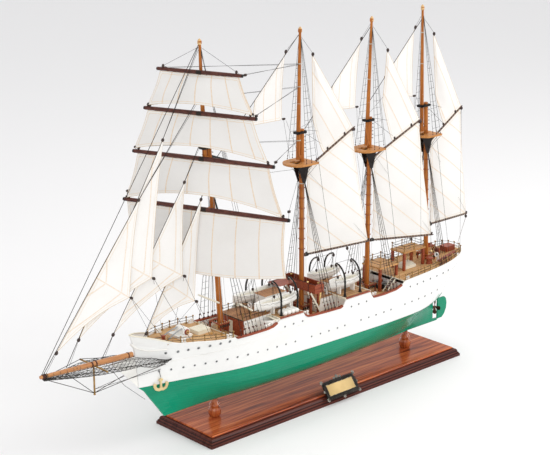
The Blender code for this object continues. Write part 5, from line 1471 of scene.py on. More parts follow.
for mast, rig in rigs.items():
    body, lines = mast + "_rig", []
    z0, z1, length = rig["boom"]
    g0, g1, reach = rig["gaff"]
    capZ = masts[mast]["lower"][3] - .0060
    slope = (g1 - g0) / (reach - gaffStart)
    # two peak halyards from the cap to the gaff
    for share in (.48, .80):
        at = rigPoint(mast, reach * share, g0 + slope * (reach * share - gaffStart) + .0022)
        hangBlock(body, at + Vector((0, 0, .0020)), (0, 0, -1), .0020)
        start = at + Vector((0, 0, .0030))
        end = Vector((mastX(mast, capZ, "top") + .008, -.0006, capZ - .002 + .008 * share))
        crossing("peakHalyard%s%d" % (mast.capitalize(), share * 100), body, start, end)
    # vangs from the peak to the rail, topping lifts from under the top to the boom's end
    peak = rigPoint(mast, reach * .985, g1 - .0012)
    hangBlock(body, peak + Vector((0, 0, -.0034)), (0, 0, 1), .0023)
    boomEnd = rigPoint(mast, length * .975, z1 + .0016)
    lines.append(([peak, peak + Vector((0, 0, -.0034))], .0003))
    vangFoot = {"main": .0900, "mizzen": .2080, "jigger": .3380}[mast]
    for side, word in bothSides:
        crossing("vang%s%s" % (mast.capitalize(), word), body, peak + Vector((0, 0, -.0045)),
            railPoint(vangFoot, side), .00020)
        lift = Vector((mastX(mast, .4080), side * .0060, .4040))
        crossing("toppingLift%s%s" % (mast.capitalize(), word), body,
            boomEnd + Vector((0, side * .0008, 0)), lift, .00020, "greyLine")
    sheetFoot = {"main": (.1120, -.0080, .1530), "mizzen": (.2250, .0, .1725),
        "jigger": (.3560, -.0060, .1830)}[mast]
    sheetTop = rigPoint(mast, length * (.97 if mast == "jigger" else .66),
        z0 + (z1 - z0) * (.97 if mast == "jigger" else .66) - .0030)
    hangBlock(body, sheetTop + Vector((0, 0, -.0018)), (0, 0, 1), .0024)
    for k in (0, 1):
        crossing("boomSheet%s%d" % (mast.capitalize(), k), body,
            sheetTop + Vector((.0008 * k, 0, -.0030)),
            Vector(sheetFoot) + Vector((.003 * k, .002 * k, 0)), .00024, "greyLine")
    # blocks at the sail's clew, tack and peak and at the topsail's head
    lower, upper = gaffShapes(mast)
    for s, t in ((1, 0), (0, 0), (1, 1)):
        hangBlock(body, lower(s, t) + Vector((.0016 if s else -.0010, 0, .0006)), (1, 0, .2), .0020)
    head = Vector(upper(.5, 1))
    hangBlock(body, head + Vector((.0004, 0, .0036)), (0, 0, -1))
    at = Vector((mastX(mast, .620, "top") + .003, 0, .6200))
    crossing("topsailHalyard" + mast.capitalize(), body, head + Vector((.0004, 0, .0050)), at,
        .00026)
    laidLines("rigLines" + mast.capitalize(), lines, "tarredLine", 5, body)

    # lacing of the sail's foot to its boom and of its head to the gaff
    turns = []
    for share in [k / 22 for k in range(1, 22)]:
        out = length * share * .962
        centre = rigPoint(mast, out, z0 + (z1 - z0) * out / length)
        turns.append(spot(centre, rigPoint(mast, 1, 0) - rigPoint(mast, 0, 0),
            (.0021, .0021, .0003)))
    for share in [k / 16 for k in range(1, 16)]:
        out = gaffStart + (reach * .945 - gaffStart) * share
        centre = rigPoint(mast, out, g0 + slope * (out - gaffStart))
        turns.append(spot(centre, rigPoint(mast, reach, g1) - rigPoint(mast, gaffStart, g0),
            (.0020, .0020, .0003)))
    ring = turnedShape([(.86, -.5), (1.0, -.35), (1.0, .35), (.86, .5)], 10)
    setOut("lacing" + mast.capitalize(), ring, turns, "creamLine", body)
for body, spotList in blocksOn.items():
    setOut("blocks_" + body, blockShape(), spotList, "darkBlock", body, angle=50)
print("stage: running rigging,", sum(len(s) for s in blocksOn.values()), "blocks")


def stripTree():
    # a flat rail with eased edges along every edge run, its width level and its height upright
    graph = geometryTree("laidStrip", [("Width", "NodeSocketFloat"), ("Height", "NodeSocketFloat"),
        ("Ease", "NodeSocketFloat"), ("Finish", "NodeSocketMaterial")])
    node, given = graph.node, graph.given
    curve = node("GeometryNodeMeshToCurve", None, {"Mesh": given["Geometry"]})
    curve = node("GeometryNodeSetCurveNormal", {"mode": "Z_UP"}, {"Curve": curve})
    profile = node("GeometryNodeCurvePrimitiveQuadrilateral", {"mode": "RECTANGLE"},
        {"Width": given["Width"], "Height": given["Height"]})
    profile = node("GeometryNodeFilletCurve", {"mode": "POLY"},
        {"Curve": profile, "Radius": given["Ease"], "Count": 2})
    strip = node("GeometryNodeCurveToMesh", None,
        {"Curve": curve, "Profile Curve": profile, "Fill Caps": True})
    strip = node("GeometryNodeRealizeInstances", None, [strip])
    return finishTree(graph, node("GeometryNodeSetMaterial", None,
        {"Geometry": strip, "Material": given["Finish"]}))


stripRun = stripTree()


def laidStrips(name, runs, width, height, key, ease=.0003):
    # runs: lists of points along the strip's middle
    mesh = grownMesh(name, stripRun, pathObject(name, runs), key,
        {"Width": width, "Height": height, "Ease": ease})
    mesh.shade_smooth()
    mesh.set_sharp_from_angle(angle=math.radians(35))
    return addPiece(name, mesh, "ship")


def steps(low, high, count):
    return [low + (high - low) * i / count for i in range(count + 1)]


# The hull's own trim
wells = [(-.2290, -.1430), (-.0800, .0080), (.0830, .1560)]


def railRun(low, high, count, rise, inward, side):
    # along the top of the planking
    return [Vector((x, side * max(deckHalf(x) - inward, .0004), sheerAt(x) + rise))
        for x in steps(low, high, count)]


for side, word in bothSides:
    laidStrips("bulwarkRail" + word, [railRun(-.4022, -.3440, 26, .0004, .0008, side)], .0034,
        .0018, "creamPaint", .0007)
    laidStrips("edgeRail" + word, [railRun(-.3440, -.2330, 30, .0002, .0006, side),
        railRun(.1650, .3650, 40, .0002, .0006, side)], .0022, .0012, "whitePaint", .0004)
    laidStrips("wellRail" + word, [railRun(low, high, 36, .0010, .0012, side)
        for low, high in wells], .0046, .0032, "mahogany", .0005)
    laidStrips("boatDeckEdge" + word, [railRun(-.1360, -.0850, 14, .0024, .0012, side),
        railRun(.0170, .0750, 14, .0024, .0012, side)], .0042, .0021, "mahogany", .0004)
    # the second moulding of the bow sweeps down from the stem to the deck's edge, and runs on aft
    bands = []
    for table in ([(-.4005, .1850), (-.3950, .1790), (-.3880, .1752), (-.3730, .1706),
            (-.3580, .1697), (-.3480, .1700)], [(-.3850, .1470), (-.350, .1462), (-.300, .1480),
            (-.24, .1508), (-.15, .1525), (-.09, .1533), (.02, .1530), (.12, .1535), (.20, .1540),
            (.28, .1535), (.345, .1540)]):
        count = 60 if len(table) > 7 else 24
        low, high = table[0][0], table[-1][0]
        bands.append(([sidePoint(x, smoothAt(table, x), side, .00005)[0]
            for x in steps(low, high, count)], .00150 if len(table) < 7 else .00028))
    laidLines("hullBands" + word, bands, "whitePaint", 8)

# cream boards across the ends of the boat decks and the breaks of the wells
boards = []
for x, half, z in ((-.1372, .0535, .1762), (-.0838, .0535, .1752), (.0158, .0535, .1742),
        (.0762, .0535, .1740)):
    boards.append(boxShape((x - .0009, -half, z - .0026), (x + .0009, half, z + .0008), .0003))
for x, z in ((-.2318, .1668), (.1640, .1712)):
    boards.append(boxShape((x - .0008, -deckHalf(x) + .0030, z - .0060),
        (x + .0008, deckHalf(x) - .0030, z + .0006), .0003))
pieceFrom("endBoards", boards, "creamPaint")

# white bitts on the sweeps of the wells and along the decks
bittPost = turnedShape([(.0016, -.0030), (.0016, .0026), (.0022, .0030), (.0022, .0040),
    (.0015, .0045)], 10)
bitt = gather([bittPost, shifted(bittPost, (.0058, 0, 0)),
    boxShape((-.0028, -.0020, -.0034), (.0086, .0020, -.0018), .0003)])
bittSpots = [spot((x, side * (deckHalf(x) - .0052), sheerAt(x) + rise), (0, 0, 1))
    for side in (-1, 1) for x, rise in ((-.1640, .0024), (-.1560, .0024), (-.0760, .0030),
    (.0870, .0026), (-.3250, .0012), (-.2450, .0016), (.1730, .0008), (.3230, .0006))]
setOut("bitts", bitt, bittSpots, "whitePaint")

# portholes: a grey ring round dark glass
portholes = {"lower": [(-.340, .1310), (-.240, .1302), (-.160, .1276), (-.060, .1257),
    (.020, .1256), (.130, .1263), (.220, .1274), (.300, .1270)],
    "places": [-.3359, -.3159, -.2973, -.2795, -.2607, -.2414, -.2228, -.2022, -.1816, -.1614,
    -.1407, -.1210, -.1002, -.0633, -.0429, -.0230, -.0028, .0151, .0547, .0739, .0920, .1120,
    .1301, .1678, .1871, .2061, .2250, .2466, .2682],
    "upper": [(-.3489, .1628), (-.3304, .1624), (-.3144, .1630), (-.2982, .1633), (-.2799, .1638),
    (-.2616, .1641), (-.2439, .1637), (-.1253, .1591), (-.1061, .1594), (-.0856, .1590),
    (.0294, .1566), (.0472, .1570), (.0664, .1573), (.1791, .1575), (.1982, .1576), (.2155, .1583),
    (.2356, .1585), (.2557, .1586), (.2760, .1588), (.2950, .1590)]}
ringShape = turnedShape([(.92, -.30), (1.0, -.10), (1.0, .10), (.92, .26), (.72, .30), (.62, .12)],
    16)
glassShape = turnedShape([(.66, -.20), (.66, .08), (.50, .16), (.20, .20)], 14)
portSpots = []
for side in (-1, 1):
    rows = [(x, z, .0025 if x < -.2 else .0018) for x, z in portholes["upper"]]
    rows += [(x, smoothAt(portholes["lower"], x), .0020 if x < -.2 else .0017)
        for x in portholes["places"]]
    for x, z, size in rows:
        at, out = sidePoint(x, z, side, .00002)
        portSpots.append(spot(at, out, size))
setOut("portholeRings", ringShape, portSpots, "zinc")
setOut("portholeGlass", glassShape, portSpots, "greyGlass")

# stockless anchors hung from the hawse, one each side
anchorProfile = [(0, -.0024), (.0058, -.0030), (.0118, -.0006), (.0152, .0050), (.0158, .0096),
    (.0126, .0120), (.0098, .0100), (.0114, .0078), (.0096, .0042), (.0058, .0018), (.0030, .0026),
    (.0021, .0060), (.0021, .0150), (.0046, .0158), (.0046, .0180), (.0022, .0186), (0, .0204)]
for side, word in bothSides:
    at, out = sidePoint(-.3535, .1020, side, .0030)
    along = (sidePoint(-.3495, .1020, side, 0)[0]
        - sidePoint(-.3575, .1020, side, 0)[0]).normalized()
    up = out.cross(along)
    up = up if up.z > 0 else -up
    loop = [(u * .84, w * .92) for u, w in anchorProfile]
    loop += [(-u, w) for u, w in reversed(loop[1:-1])]
    rings = [[at + along * (u * shrink) + up * (w * (1 if shrink == 1 else .97)) + out * depth
        for u, w in loop] for depth, shrink in ((-.0009, .93), (-.0004, 1), (.0006, 1),
        (.0012, .90))]
    pieceFrom("anchor" + word, loftShape(rings), "paleBrass")
    hawse, out2 = sidePoint(-.3560, .1321, side, .0002)
    laidLines("anchorLine" + word, [([at + up * .0196, hawse + out2 * .0012, hawse], .00045)],
        "tarredLine")
    setOut("hawsePipe" + word, ringShape, [spot(hawse, out2, .0021)], "zinc")
print("stage: hull trim, portholes and anchors")

# The bowsprit's net: knotted cord in diamonds, gathered at its edges
netSetup = {  # share of the bowsprit, half width, drop of the outer edge, drop of the inner edge
    "rows": [(-.357, .0215, .0151, .0151), (-.279, .0262, .0164, .0086),
        (-.153, .0298, .0171, .0032), (-.104, .0305, .0164, .0030), (.060, .0320, .0095, .0040),
        (.200, .0340, .0084, .0045), (.430, .0315, .0070, .0045), (.700, .0190, .0065, .0045),
        (.880, .0090, .0058, .0045), (.965, .0040, .0052, .0045)],
    "from": -.357, "to": .965, "cord": .00036, "shake": .0007,
}


def netRow(share, column):
    return smoothAt([(row[0], row[column]) for row in netSetup["rows"]], share)


def netPoint(share, across):
    # share of the bowsprit from the root, across from -1 to 1
    centre = spritAt(share)
    outer, inner = netRow(share, 2), netRow(share, 3)
    drop = inner + (outer - inner) * min(1.0, abs(across))
    sag = .0022 * (1 - across * across) * min(1.0, max(0.0, share + .357) * 4)
    return Vector((centre.x, across * netRow(share, 1), centre.z - drop - sag + .0004))


netRng = random.Random(5)
netLines, knots = [], []
netRuns = 56
netShares = steps(netSetup["from"], netSetup["to"], netRuns)
for side in (-1, 1):
    grid = []
    for share in netShares:
        half = netRow(share, 1)
        cells = 9
        x = bowspritRoot.x + (bowspritTip.x - bowspritRoot.x) * share
        height = netPoint(share, .6).z
        beside = min(.97, (hullSide(x, height) + .0014) / half) if share < -.03 else .085
        line = []
        for j in range(cells + 1):
            across = side * (beside + (1 - beside) * j / cells)
            p = netPoint(share, across)
            shake = netSetup["shake"] * min(1.0, half / .02)
            p += Vector((netRng.uniform(-shake, shake), netRng.uniform(-shake, shake) * .6,
                netRng.uniform(-.0004, .0004)))
            line.append(p)
        grid.append(line)
    for i in range(netRuns):
        for j in range(cells + 1):
            if (i + j) % 2 == 0:
                for n in (j - 1, j + 1):
                    if 0 <= n <= cells:
                        a, b = grid[i][j], grid[i + 1][n]
                        middle = (a + b) / 2 + Vector((0, 0, netRng.uniform(-.0007, .0002)))
                        netLines.append(([a, middle, b], netSetup["cord"]))
            if (i + j) % 2 == 0:
                knots.append(spot(grid[i][j], (netRng.uniform(-1, 1), netRng.uniform(-1, 1), 1),
                    netRng.uniform(.00048, .00070)))
    netLines.append(([grid[i][cells] for i in range(netRuns + 1)], .00050))
    netLines.append(([grid[i][0] for i in range(netRuns + 1)], .00042))
    # lashings that hold its inner edge to the spar
    for i in range(1, netRuns, 3):
        share = netShares[i]
        if share < .05:
            continue
        centre = spritAt(share)
        netLines.append(([grid[i][0], centre + Vector((0, side * .0042, -.0012)),
            centre + Vector((0, side * .0030, .0030))], .00030))
net = laidLines("netMeshes", netLines, "netCord", 4)
setOut("netKnots", turnedShape([(.5, -1), (1, -.5), (1, .5), (.5, 1)], 6), knots, "netCord")
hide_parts("bowsprit_net")

# bowsprit fittings: collars, the gammoning and the lashing of the stays
sprit = (bowspritTip - bowspritRoot).normalized()
collars = [spot(spritAt(share), sprit, (radius, radius, .0010))
    for share, radius in ((.050, .0050), (.41, .0052), (.455, .0051), (.962, .0039),
    (.975, .0038))]
setOut("bowspritBands", turnedShape([(.90, -1), (1, -.8), (1, .8), (.90, 1)], 16), collars,
    "darkSpar")
wraps = [([spritAt(share) + Vector((0, y, z))
    for y, z in ((-.0034, .0016), (0, .0040), (.0034, .0016), (.0030, -.0026), (-.0030, -.0026),
    (-.0034, .0016))], .00042) for share in (.945, .950, .955, .930, .30, .305, .62, .625)]
laidLines("bowspritLashings", wraps, "tarredLine")
striker, strikerHalf = spritAt(.43), .0334
cover = [([striker, striker + Vector((0, 0, -.0484))], .00145),
    ([striker + Vector((0, y, -.0022)) for y in (-strikerHalf, strikerHalf)], .00145)]
laidLines("strikerBrass", cover, "railBrass", 10)
setOut("strikerEnds", turnedShape([(.2, -1), (.8, -.6), (1, 0), (.8, .6), (.2, 1)], 12),
    [spot(striker + Vector((0, 0, -.0490)), (0, 0, 1), .0020),
    spot(striker + Vector((0, -.0338, -.0022)), (0, 1, 0), .0017),
    spot(striker + Vector((0, .0338, -.0022)), (0, 1, 0), .0017)], "railBrass")
print("stage: bowsprit and net")


# Mast fittings
capIron, mastBands, truckSpots, rungSpots, hoopSpots = [], [], [], [], {}
for mast in masts:
    x0, z0, x1, z1 = masts[mast]["lower"]
    x2, z2, x3, z3 = masts[mast]["top"]
    capZ = z1 - .0050
    ax, bx = mastX(mast, capZ, "top"), mastX(mast, capZ)
    capIron.append(boxShape((ax - .0070, -.0058, capZ - .0021), (bx + .0066, .0058, capZ + .0021),
        .0006))
    capIron.append(boxShape((ax - .0042, -.0088, capZ - .0010), (ax + .0042, .0088, capZ + .0010),
        .0004))
    truckSpots.append(spot((x3, 0, z3 - .0086), (x3 - x2, 0, z3 - z2), 1.0))
    for z in {"fore": (.566, .505, .436), "main": (.5770, .5396, .5114, .4503, .3760),
            "mizzen": (.5900, .5300, .4900), "jigger": (.5950, .5400, .4850)}[mast]:
        part = "top" if z > z1 - .02 else "lower"
        mastBands.append(spot((mastX(mast, z, part), 0, z), (0, 0, 1),
            (mastRadius(mast, z) * 1.05, mastRadius(mast, z) * 1.05, .0008)))
    for k in range(6):
        z = z2 + .0120 + .0062 * k
        if z < capZ - .003:
            x = mastX(mast, z) + mastRadius(mast, z)
            rungSpots.append(spot((x, -.0012, z), (1, -.35, 0), 1.0, front=(0, 1, 0)))
    if mast in rigs:
        hoopSpots[mast] = [spot((mastX(mast, z), 0, z), (0, 0, 1),
            (mastRadius(mast, z) + .0010,) * 2 + (.0007,))
            for z in steps(rigs[mast]["boom"][0] + .012, rigs[mast]["gaff"][0] - .010, 7)]
pieceFrom("mastCaps", capIron, "blackIron")
truck = turnedShape([(.0024, .0), (.0032, .0012), (.0033, .0034), (.0026, .0046), (.0030, .0056),
    (.0026, .0072), (.0014, .0086), (.0005, .0096)], 16)
setOut("trucks", truck, truckSpots, "paleWood")
whipping = turnedShape([(.96, -1), (1.03, -.6), (1.03, .6), (.96, 1)], 14)
setOut("whippings", whipping, mastBands, "creamLine")
rungLines = []
for at in (Vector(s[0]) for s in rungSpots):
    rungLines.append(([at + Vector((-.0010, .0022, 0)), at + Vector((.0016, .0020, 0)),
        at + Vector((.0016, -.0026, 0)), at + Vector((-.0014, -.0026, 0))], .00034))
laidLines("mastRungs", rungLines, "blackIron")
hoop = turnedShape([(.98, -.5), (1.10, -.3), (1.10, .3), (.98, .5)], 16)
for mast, spotList in hoopSpots.items():
    setOut("mastHoops" + mast.capitalize(), hoop, spotList, "mahogany", mast + "_rig")
# iron bearers under the tops, and the jaws of booms and gaffs
for mast, (height, half, places) in topRims.items():
    cx = mastX(mast, height)
    rails = []
    for side in (-1, 1):
        rails.append(boxShape((cx - .0090, side * .0100 - .0008, height - .0044),
            (cx + .0140, side * .0100 + .0008, height - .0030), .0002))
    pieceFrom("topBearers" + mast.capitalize(), rails, "blackIron")
for mast, rig in rigs.items():
    parts = []
    for key, z in (("boom", rig["boom"][0]), ("gaff", rig["gaff"][0])):
        first, second = (.0060, .0125 if key == "boom" else .0086)
        low, high = rigPoint(mast, first, z), rigPoint(mast, second,
            z + (0 if key == "boom" else .0020))
        parts.append(([low, high], (.0030, .0029) if key == "boom" else (.0021, .0021)))
    laidLines("jaws" + mast.capitalize(), parts, "blackIron", 10, mast + "_rig")
# yards: black sleeves at the ends, pale whippings inboard of them and a third of the way out
for row, (height, half, shift, radius) in enumerate(yards):
    sleeves, pale = [], []
    axis = (yardPoint(row, .1) - yardPoint(row, 0)).normalized()
    for side in (-1, 1):
        thick = radius * .92
        sleeves.append(spot(yardPoint(row, side * (half - .0014)), axis, (thick, thick, .0018)))
        pale.append(spot(yardPoint(row, side * (half - .0054)), axis, (thick, thick, .0006)))
        pale.append(spot(yardPoint(row, side * half * .34), axis, (radius, radius, .0005)))
    shares = (-.985, -.80, -.50, -.20, 0, .20, .50, .80, .985)
    laidLines("yardSkin%d" % (row + 1), [([yardPoint(row, half * share) for share in shares],
        [radius * (1.02 + .20 * (1 - share * share)) for share in shares])], "darkSpar", 16,
        "fore_yards")
    setOut("yardSleeves%d" % (row + 1), whipping, sleeves, "blackIron", "fore_yards")
    setOut("yardWhippings%d" % (row + 1), whipping, pale, "creamLine", "fore_yards")
print("stage: mast fittings")


# On deck: stanchions and rails
def deckZ(x):
    if x < -.2325:
        return tableAt(deckTables["forecastle"], x)
    if x > .1640:
        return sheerAt(x) - .0003
    return tableAt(deckTables["main"], x)


stanchion = turnedShape([(.0011, 0), (.0011, .0005), (.00050, .0008), (.00042, .0048),
    (.00075, .0052), (.00042, .0056), (.00038, .0094), (.00060, .0098), (.00090, .0104),
    (.00090, .0110), (.00060, .0116), (.00020, .0119)], 8)
railSetup = {"heights": (.0052, .0100), "radius": .00042}


def railing(name, posts, closed=False):
    # posts: feet, in order; a rail through each height
    spotList = [spot(p, (0, 0, 1), (1.9, 1.9, 1.05)) for p in posts]
    setOut(name + "Posts", stanchion, spotList, "railBrass")
    loop = posts + (posts[:1] if closed else [])
    lines = [([Vector(p) + Vector((0, 0, rise)) for p in loop], railSetup["radius"])
        for rise in railSetup["heights"]]
    laidLines(name + "Rails", lines, "blackIron", 5)


for side, word in bothSides:
    railing("forecastle" + word, [Vector((x, side * (deckHalf(x) - .0034), deckZ(x)))
        for x in (-.3480, -.3280, -.3085, -.2890, -.2690, -.2500, -.2350)])
    railing("poop" + word, [Vector((x, side * (deckHalf(x) - .0028), deckZ(x)))
        for x in (.1690, .1860, .2030, .2200, .2370, .2540, .2710, .2880, .3050, .3210, .3360,
        .3480)])
railing("taffrail", [Vector((x, y, deckZ(x) + .0002))
    for x, y in ((.3480, -.0222), (.3545, -.0130), (.3560, 0), (.3545, .0130), (.3480, .0222))])
for name, ax, bx, hy, height in (("mizzenPlatform", .1335, .1800, .0215, .1940),
        ("jiggerPlatform", .2010, .2560, .0165, .2075)):
    middle = (ax + bx) / 2
    railing(name, [(x, y, height) for y, places in ((-hy + .0016, (ax + .0016, middle, bx - .0016)),
        (hy - .0016, (bx - .0016, middle, ax + .0016))) for x in places], closed=True)
for name, y in (("houseRoof", -.0275), ("houseRoofFar", .0275)):
    railing(name, [(x, y, .1797) for x in (-.1945, -.1780, -.1610, -.1450)])


# Planked tops: boat decks, house roofs and platforms
def plankSheet(low, high, z, thick=.0007):
    return boxShape((low[0], low[1], z), (high[0], high[1], z + thick), .0002)


def plankEnd(x, y, half, low, high):
    # the four corners of a section across the ship
    return [(x, y - half, low), (x, y + half, low), (x, y + half, high), (x, y - half, high)]


sheets = []
for low, high in ((-.1358, -.0856), (.0172, .0748)):
    rings = []
    for x in steps(low, high, 6):
        half, z = deckHalf(x) - .0030, sheerAt(x) + boatDeckRise
        rings.append(plankEnd(x, 0, half, z, z + .0006))
    sheets.append(loftShape(rings))
pieceFrom("boatDeckPlanking", sheets, "boatDeckPlanks")
roofs = [((-.1975, -.0302), (-.1360, .0302), .1790), ((-.1335, -.0142), (-.0868, .0142), .2020),
    ((-.0212, -.0232), (.0165, .0232), .1735), ((.0248, -.0142), (.0692, .0142), .1870)]
pieceFrom("roofPlanking", gather([plankSheet(a, b, z) for a, b, z in roofs]), "roofPlanks")
platforms = [((.1331, -.0219), (.1804, .0219), .1935), ((.2006, -.0169), (.2564, .0169), .2070)]
pieceFrom("platformPlanking", gather([plankSheet(a, b, z, .0006) for a, b, z in platforms]),
    "topPlanks")
edges = []
for (ax, ay), (bx, by), z in platforms:
    for y in (ay, by):
        edges.append(boxShape((ax - .0004, y - .0005, z - .0022),
            (bx + .0004, y + .0005, z + .0002), .0002))
    for x in (ax, bx):
        edges.append(boxShape((x - .0005, ay, z - .0022), (x + .0005, by, z + .0002), .0002))
pieceFrom("platformEdges", edges, "topPlanks")

# curved breakwater walls before the fore boat deck, one each side
walls = []
for side in (-1, 1):
    inner, outer = [], []
    for k in range(13):
        a = math.radians(90 * k / 12)
        for line, grow in ((inner, -.0004), (outer, .0004)):
            line.append((-.1370 - (.0270 + grow) * math.sin(a),
                side * (.0270 + (.0245 + grow) * math.cos(a))))
    rings = [[(*inner[k], .1515), (*outer[k], .1515), (*outer[k], .1748), (*inner[k], .1748)]
        for k in range(13)]
    walls.append(loftShape(rings))
pieceFrom("curvedWalls", walls, "whitePaint")

# windows and doors of the houses
windowRows = [("y", side * half, places, heights)
    for half, places, heights in ((.0290, (-.1900, -.1830, -.1760, -.1690), (.1560, .1655, .1735)),
    (.0130, (-.1260, -.1170, -.1080, -.0990), (.1955,)),
    (.0220, (-.0160, -.0080, .0000, .0080), (.1650,)),
    (.0130, (.0320, .0420, .0520, .0620), (.1805,))) for side in (-1, 1)]
windowRows += [("x", -.1960, (-.0210, -.0130, .0130, .0210), (.1700,)),
    ("x", -.1320, (-.0070, .0070), (.1950,)), ("x", -.0200, (-.0130, .0130), (.1650,)),
    ("x", .0260, (-.0060, .0060), (.1810,))]
windows, windowSize = [], (.0020, .0020, .0006)
for axis, at, places, heights in windowRows:
    for place in places:
        for z in heights:
            sign = 1 if axis == "y" and at > 0 else -1
            where = (place, at, z) if axis == "y" else (at, place, z)
            aim = (0, sign, 0) if axis == "y" else (sign, 0, 0)
            windows.append(spot(where, aim, windowSize, front=(0, 0, 1)))
windowFrame = turnedShape([(.95, -.3), (1.0, .2), (.92, .9), (.70, .9), (.66, .3)], 4)
turned45 = Matrix.Rotation(math.pi / 4, 4, "Z")
setOut("houseWindows", shifted(windowFrame, matrix=turned45), windows, "creamPaint")
setOut("houseGlass", shifted(turnedShape([(.7, -.2), (.7, .35), (.5, .45)], 4), matrix=turned45),
    windows, "greyGlass")
doors = [boxShape((-.0204, -.0040, .1515), (-.0198, .0040, .1690), .0002),
    boxShape((.1590, -.0035, .1505), (.1600, .0035, .1640), .0002)]
pieceFrom("houseDoors", doors, "mahogany")

# Davits with their blocks and falls
davitSetup = {"radius": .00165, "rise": .0555, "reach": .0245, "footY": .0435, "boatZ": .2010,
    "fore": (-.1247, -.0880), "aft": (.0234, .0600)}
davitLines, falls, flanges, davitBlocks = [], [], [], []
for key in ("fore", "aft"):
    for side in (-1, 1):
        heads = []
        for x in davitSetup[key]:
            deck = sheerAt(x) + boatDeckRise
            reach, rise = davitSetup["reach"], davitSetup["rise"]
            path = [(0, 0), (0, rise - reach * 1.15)]
            for k in range(1, 11):
                a = math.radians(90 * k / 10 * .92)
                path.append((reach * (1 - math.cos(a)),
                    rise - reach * 1.15 + reach * 1.15 * math.sin(a)))
            points = [Vector((x, side * (davitSetup["footY"] - r), deck - .0002 + h))
                for r, h in path]
            davitLines.append((points, [davitSetup["radius"]
                * (1.0 if k < 4 else 1 - .025 * (k - 3)) for k in range(len(points))]))
            flanges.append(spot((x, side * davitSetup["footY"], deck + .0004), (0, 0, 1), 1.0))
            head = points[-1]
            heads.append(head)
            low = Vector((head.x, side * .0262, davitSetup["boatZ"]))
            davitBlocks.append(spot(head + Vector((0, side * -.0006, -.0036)), (0, 0, 1), .0023))
            davitBlocks.append(spot(low + Vector((0, 0, .0026)), (0, 0, -1), .0020))
            for shift in (-.0007, .0007):
                falls.append(([head + Vector((shift, 0, -.0040)), low + Vector((shift, 0, .0030))],
                    .00022))
            falls.append(([head + Vector((0, 0, -.0030)), points[1] + Vector((.0016, 0, -.008)),
                points[0] + Vector((.0018, 0, .0100))], .00024))
        falls.append(([heads[0], heads[1]], .00028))
        for k, reachX in ((0, -.0220), (1, .0220)):
            foot = Vector((davitSetup[key][k] + reachX, side * .0455,
                sheerAt(davitSetup[key][k] + reachX) + .001))
            falls.append(([heads[k], foot], .00024))
laidLines("davits", davitLines, "blackIron", 12)
laidLines("davitFalls", falls, "tarredLine", 5)
flange = turnedShape([(.0034, 0), (.0034, .0008), (.0024, .0014), (.0021, .0046), (.0017, .0054)],
    14)
setOut("davitFlanges", flange, flanges, "blackIron")
setOut("davitBlocks", blockShape(), davitBlocks, "darkBlock", angle=50)

# Lifeboats: gunwale, rubbing strakes and keel over the moulded boats, oars and lifelines
boatSetup = {"beam": .0215, "y": .0265, "keel": .1848, "depth": .0140,
    "boats": [("Fore", -.1195, .0975), ("Aft", .0420, .0785)]}


def boatSection(t):
    keel, lift = boatSetup["keel"], .0060 * abs(t) ** 3.5
    width = boatSetup["beam"] / 2 * (1 - abs(t) ** 2.8) + .0006
    rim = keel + boatSetup["depth"] + .0030 * t * t
    return [(0, keel + lift), (.50 * width, keel + lift + .0020),
        (.88 * width, keel + .5 * lift + .0065), (width, rim)]


for word, centre, length in boatSetup["boats"]:
    for side, sideWord in bothSides:
        gunwale, strakes, loops = [], [], []
        y = side * boatSetup["y"]
        for way in (-1, 1):
            rim, upper, lower, middle = [], [], [], []
            for t in steps(-1, 1, 28):
                x = centre + t * length / 2
                (w1, h1), (w2, h2), (w3, h3) = boatSection(t)[1:]
                rim.append(Vector((x, y + way * w3, h3)))
                for line, share in ((upper, .62), (middle, .25)):
                    line.append(Vector((x, y + way * (w2 + (w3 - w2) * share + .0001),
                        h2 + (h3 - h2) * share)))
                lower.append(Vector((x, y + way * (w1 + (w2 - w1) * .5 + .0001),
                    h1 + (h2 - h1) * .5 - .0001)))
            gunwale.append((rim, .00072))
            strakes += [(upper, .00034), (middle, .00034), (lower, .00034)]
            scallops = []
            for k in range(57):
                t = -0.86 + 1.72 * k / 56
                section = boatSection(t)
                dip = .0022 * abs(math.sin(math.pi * k / 8))
                scallops.append(Vector((centre + t * length / 2, y + way * (section[3][0] + .0004),
                    section[3][1] - .0008 - dip)))
            loops.append((scallops, .00022))
        keelLine = [Vector((centre + t * length / 2, y, boatSection(t)[0][1] - .0002))
            for t in steps(-1, 1, 20)]
        stemLow, stemHigh = boatSection(1)[0][1], boatSection(1)[3][1] + .0012
        stems = [([Vector((x, y, stemLow)), Vector((x, y, stemHigh))], .00090)
            for x in (centre + t * length / 2 for t in (-1, 1))]
        name = "lifeboat" + word + sideWord
        laidLines(name + "Gunwale", gunwale, "whitePaint", 8)
        laidLines(name + "Strakes", strakes + [(keelLine, .0008)] + stems, "whitePaint")
        laidLines(name + "Lifeline", loops, "greyLine", 4)
        oars = [([Vector((x, y + k * .0022, boatSetup["keel"] + .0124))
            for x in (centre - length * .30, centre + length * .16, centre + length * .24,
            centre + length * .32)], (.0004, .0004, .0009, .0009)) for k in (-2, -1, 1, 2)]
        laidLines(name + "Oars", oars, "creamPaint")

